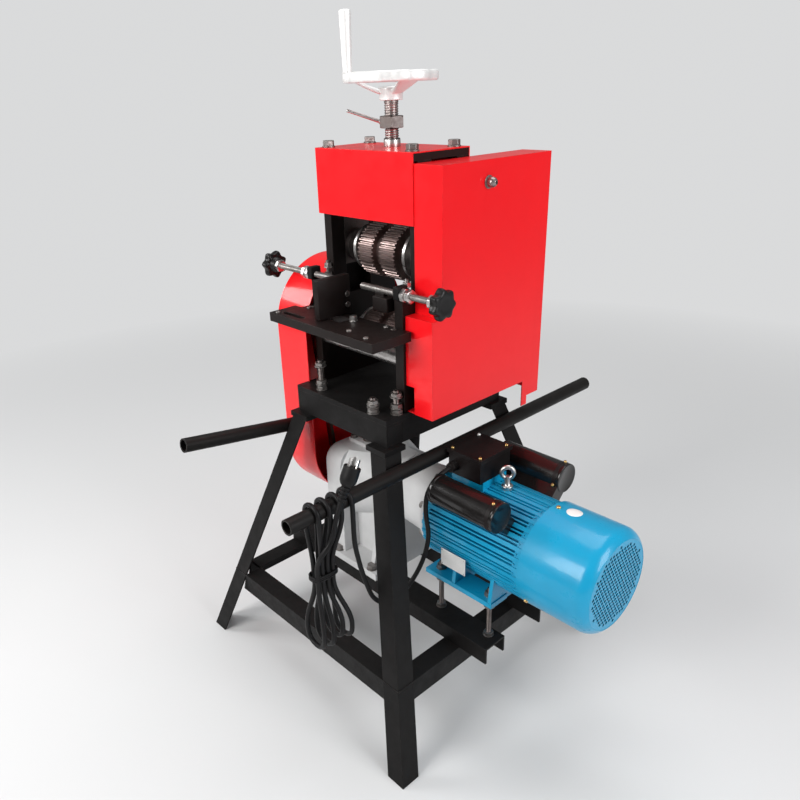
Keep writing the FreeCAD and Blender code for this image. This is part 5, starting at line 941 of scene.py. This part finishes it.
# A bare round sticker, laid on the cowl
verts = [on_cowl(STICKER_X + share * STICKER_HALF * math.cos(t),
                 STICKER_TURN + share * STICKER_HALF * math.sin(t) / COWL_R, lift)
         for share, lift in STICKER_ROWS for t in circle(STICKER_STEPS)]
faces = tube_faces(len(STICKER_ROWS), STICKER_STEPS)
faces.append(tuple(range(len(verts) - STICKER_STEPS, len(verts))))
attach(piece("cowl_sticker", verts, faces, LABEL, 60), ROOT)

# ---------- tie round the hank ----------
TIE_TURNS, TIE_STEPS, TIE_SEGMENTS = 3, 64, 10
TIE_X, TIE_Y, TIE_Z, TIE_PITCH = 161.8, -345.8, 405.5, 3.4
TIE_HALF_X, TIE_HALF_Y = 14.6, 25.6

band = []
for turn in range(TIE_TURNS):
    verts = []
    for a in circle(TIE_STEPS):
        out_x, out_y = squared(math.cos(a), 0.7) * TIE_HALF_X, squared(math.sin(a), 0.7) * TIE_HALF_Y
        for b in circle(TIE_SEGMENTS):
            verts.append(at(TIE_X + out_x * (1 + 0.1 * math.cos(b)), TIE_Y + out_y * (1 + 0.06 * math.cos(b)),
                            TIE_Z + turn * TIE_PITCH + 1.5 * math.sin(b) + 0.8 * math.sin(a + turn)))
    band.append(piece("band", verts, ring_faces(TIE_STEPS, TIE_SEGMENTS), RUBBER, 70))
tie_piece = grown("hank_band", band, "hank_tie")

# ---------- transfer chain, whose upper end goes down with the crosshead: here a fixed copy of the CAD's band ---
transfer = linked("transfer_chain_band", NODES["transfer_chain"].data.copy())
dress(transfer, CHAIN)
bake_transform(transfer)
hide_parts("transfer_chain")

# ---------- floor: its colour glows for the camera away from the object ----------
PALE = (0.7, 0.705, 0.71, 1)
FLOOR_HALF, FLOOR_DROP = 30, -0.0002
GLOW_FROM, GLOW_FULL = 1.0, 3.0

ground = Tree("studio_floor")
ground.bsdf.inputs["Base Color"].default_value = PALE
ground.bsdf.inputs["Roughness"].default_value = 0.8
ground.bsdf.inputs["Specular IOR Level"].default_value = 0.1
ground.link(ground.bump(ground.noise(60, 3), 0.0002), ground.bsdf.inputs["Normal"])
glow = ground.node("ShaderNodeEmission")
glow.inputs["Color"].default_value = PALE
far = ground.node("ShaderNodeVectorMath", operation="LENGTH")
ground.link(ground.coord, far.inputs[0])
path = ground.node("ShaderNodeLightPath")
fade = ground.math("MULTIPLY", ground.ramp(far.outputs["Value"], 0, 1, GLOW_FROM, GLOW_FULL),
                   path.outputs["Is Camera Ray"])
blend = ground.node("ShaderNodeMixShader")
ground.link(fade, blend.inputs[0])
ground.link(ground.bsdf.outputs[0], blend.inputs[1])
ground.link(glow.outputs[0], blend.inputs[2])
ground.link(blend.outputs[0], ground.out.inputs[0])
mesh = bpy.data.meshes.new("floor")
corners = [(-FLOOR_HALF, -FLOOR_HALF), (FLOOR_HALF, -FLOOR_HALF), (FLOOR_HALF, FLOOR_HALF),
           (-FLOOR_HALF, FLOOR_HALF)]
mesh.from_pydata([(x, y, FLOOR_DROP) for x, y in corners], [], [(0, 1, 2, 3)])
floor = linked("floor", mesh)
dress(floor, ground.mat)

# ---------- world: a soft grey light, pale where the camera sees it ----------
world = bpy.data.worlds.new("studio")
world.use_nodes = True
scene.world = world
sky = world.node_tree
soft = sky.nodes["Background"]
soft.inputs["Color"].default_value = (0.5, 0.505, 0.51, 1)
soft.inputs["Strength"].default_value = 0.5
seen = sky.nodes.new("ShaderNodeBackground")
seen.inputs["Color"].default_value = PALE
chosen = sky.nodes.new("ShaderNodeMixShader")
ray = sky.nodes.new("ShaderNodeLightPath")
sky.links.new(ray.outputs["Is Camera Ray"], chosen.inputs[0])
sky.links.new(soft.outputs[0], chosen.inputs[1])
sky.links.new(seen.outputs[0], chosen.inputs[2])
sky.links.new(chosen.outputs[0], sky.nodes["World Output"].inputs[0])

# ---------- lamps: name, place, target, size, watts, colour ----------
LAMPS = (
    ("key", (-0.4, -3.0, 2.0), (0, 0, 0.7), (1.5, 1.5), 78, (1.0, 0.985, 0.965)),
    ("side", (3.0, 0.3, 1.7), (0.1, 0, 0.6), (1.4, 1.8), 62, (0.98, 0.99, 1.0)),
    ("top", (-0.2, 0.6, 3.4), (0, 0, 0.7), (2.0, 2.0), 40, (1, 1, 1)),
    ("left_fill", (-2.3, -1.6, 1.9), (0, 0, 0.6), (0.9, 0.9), 28, (1, 1, 1)),
)
for name, place, target, size, power, color in LAMPS:
    light = bpy.data.lights.new(name, "AREA")
    light.shape = "RECTANGLE"
    light.size, light.size_y = size
    light.energy = power
    light.color = color
    obj = linked(name, light)
    obj.location = place
    obj.rotation_euler = (Vector(target) - Vector(place)).to_track_quat("-Z", "Y").to_euler()
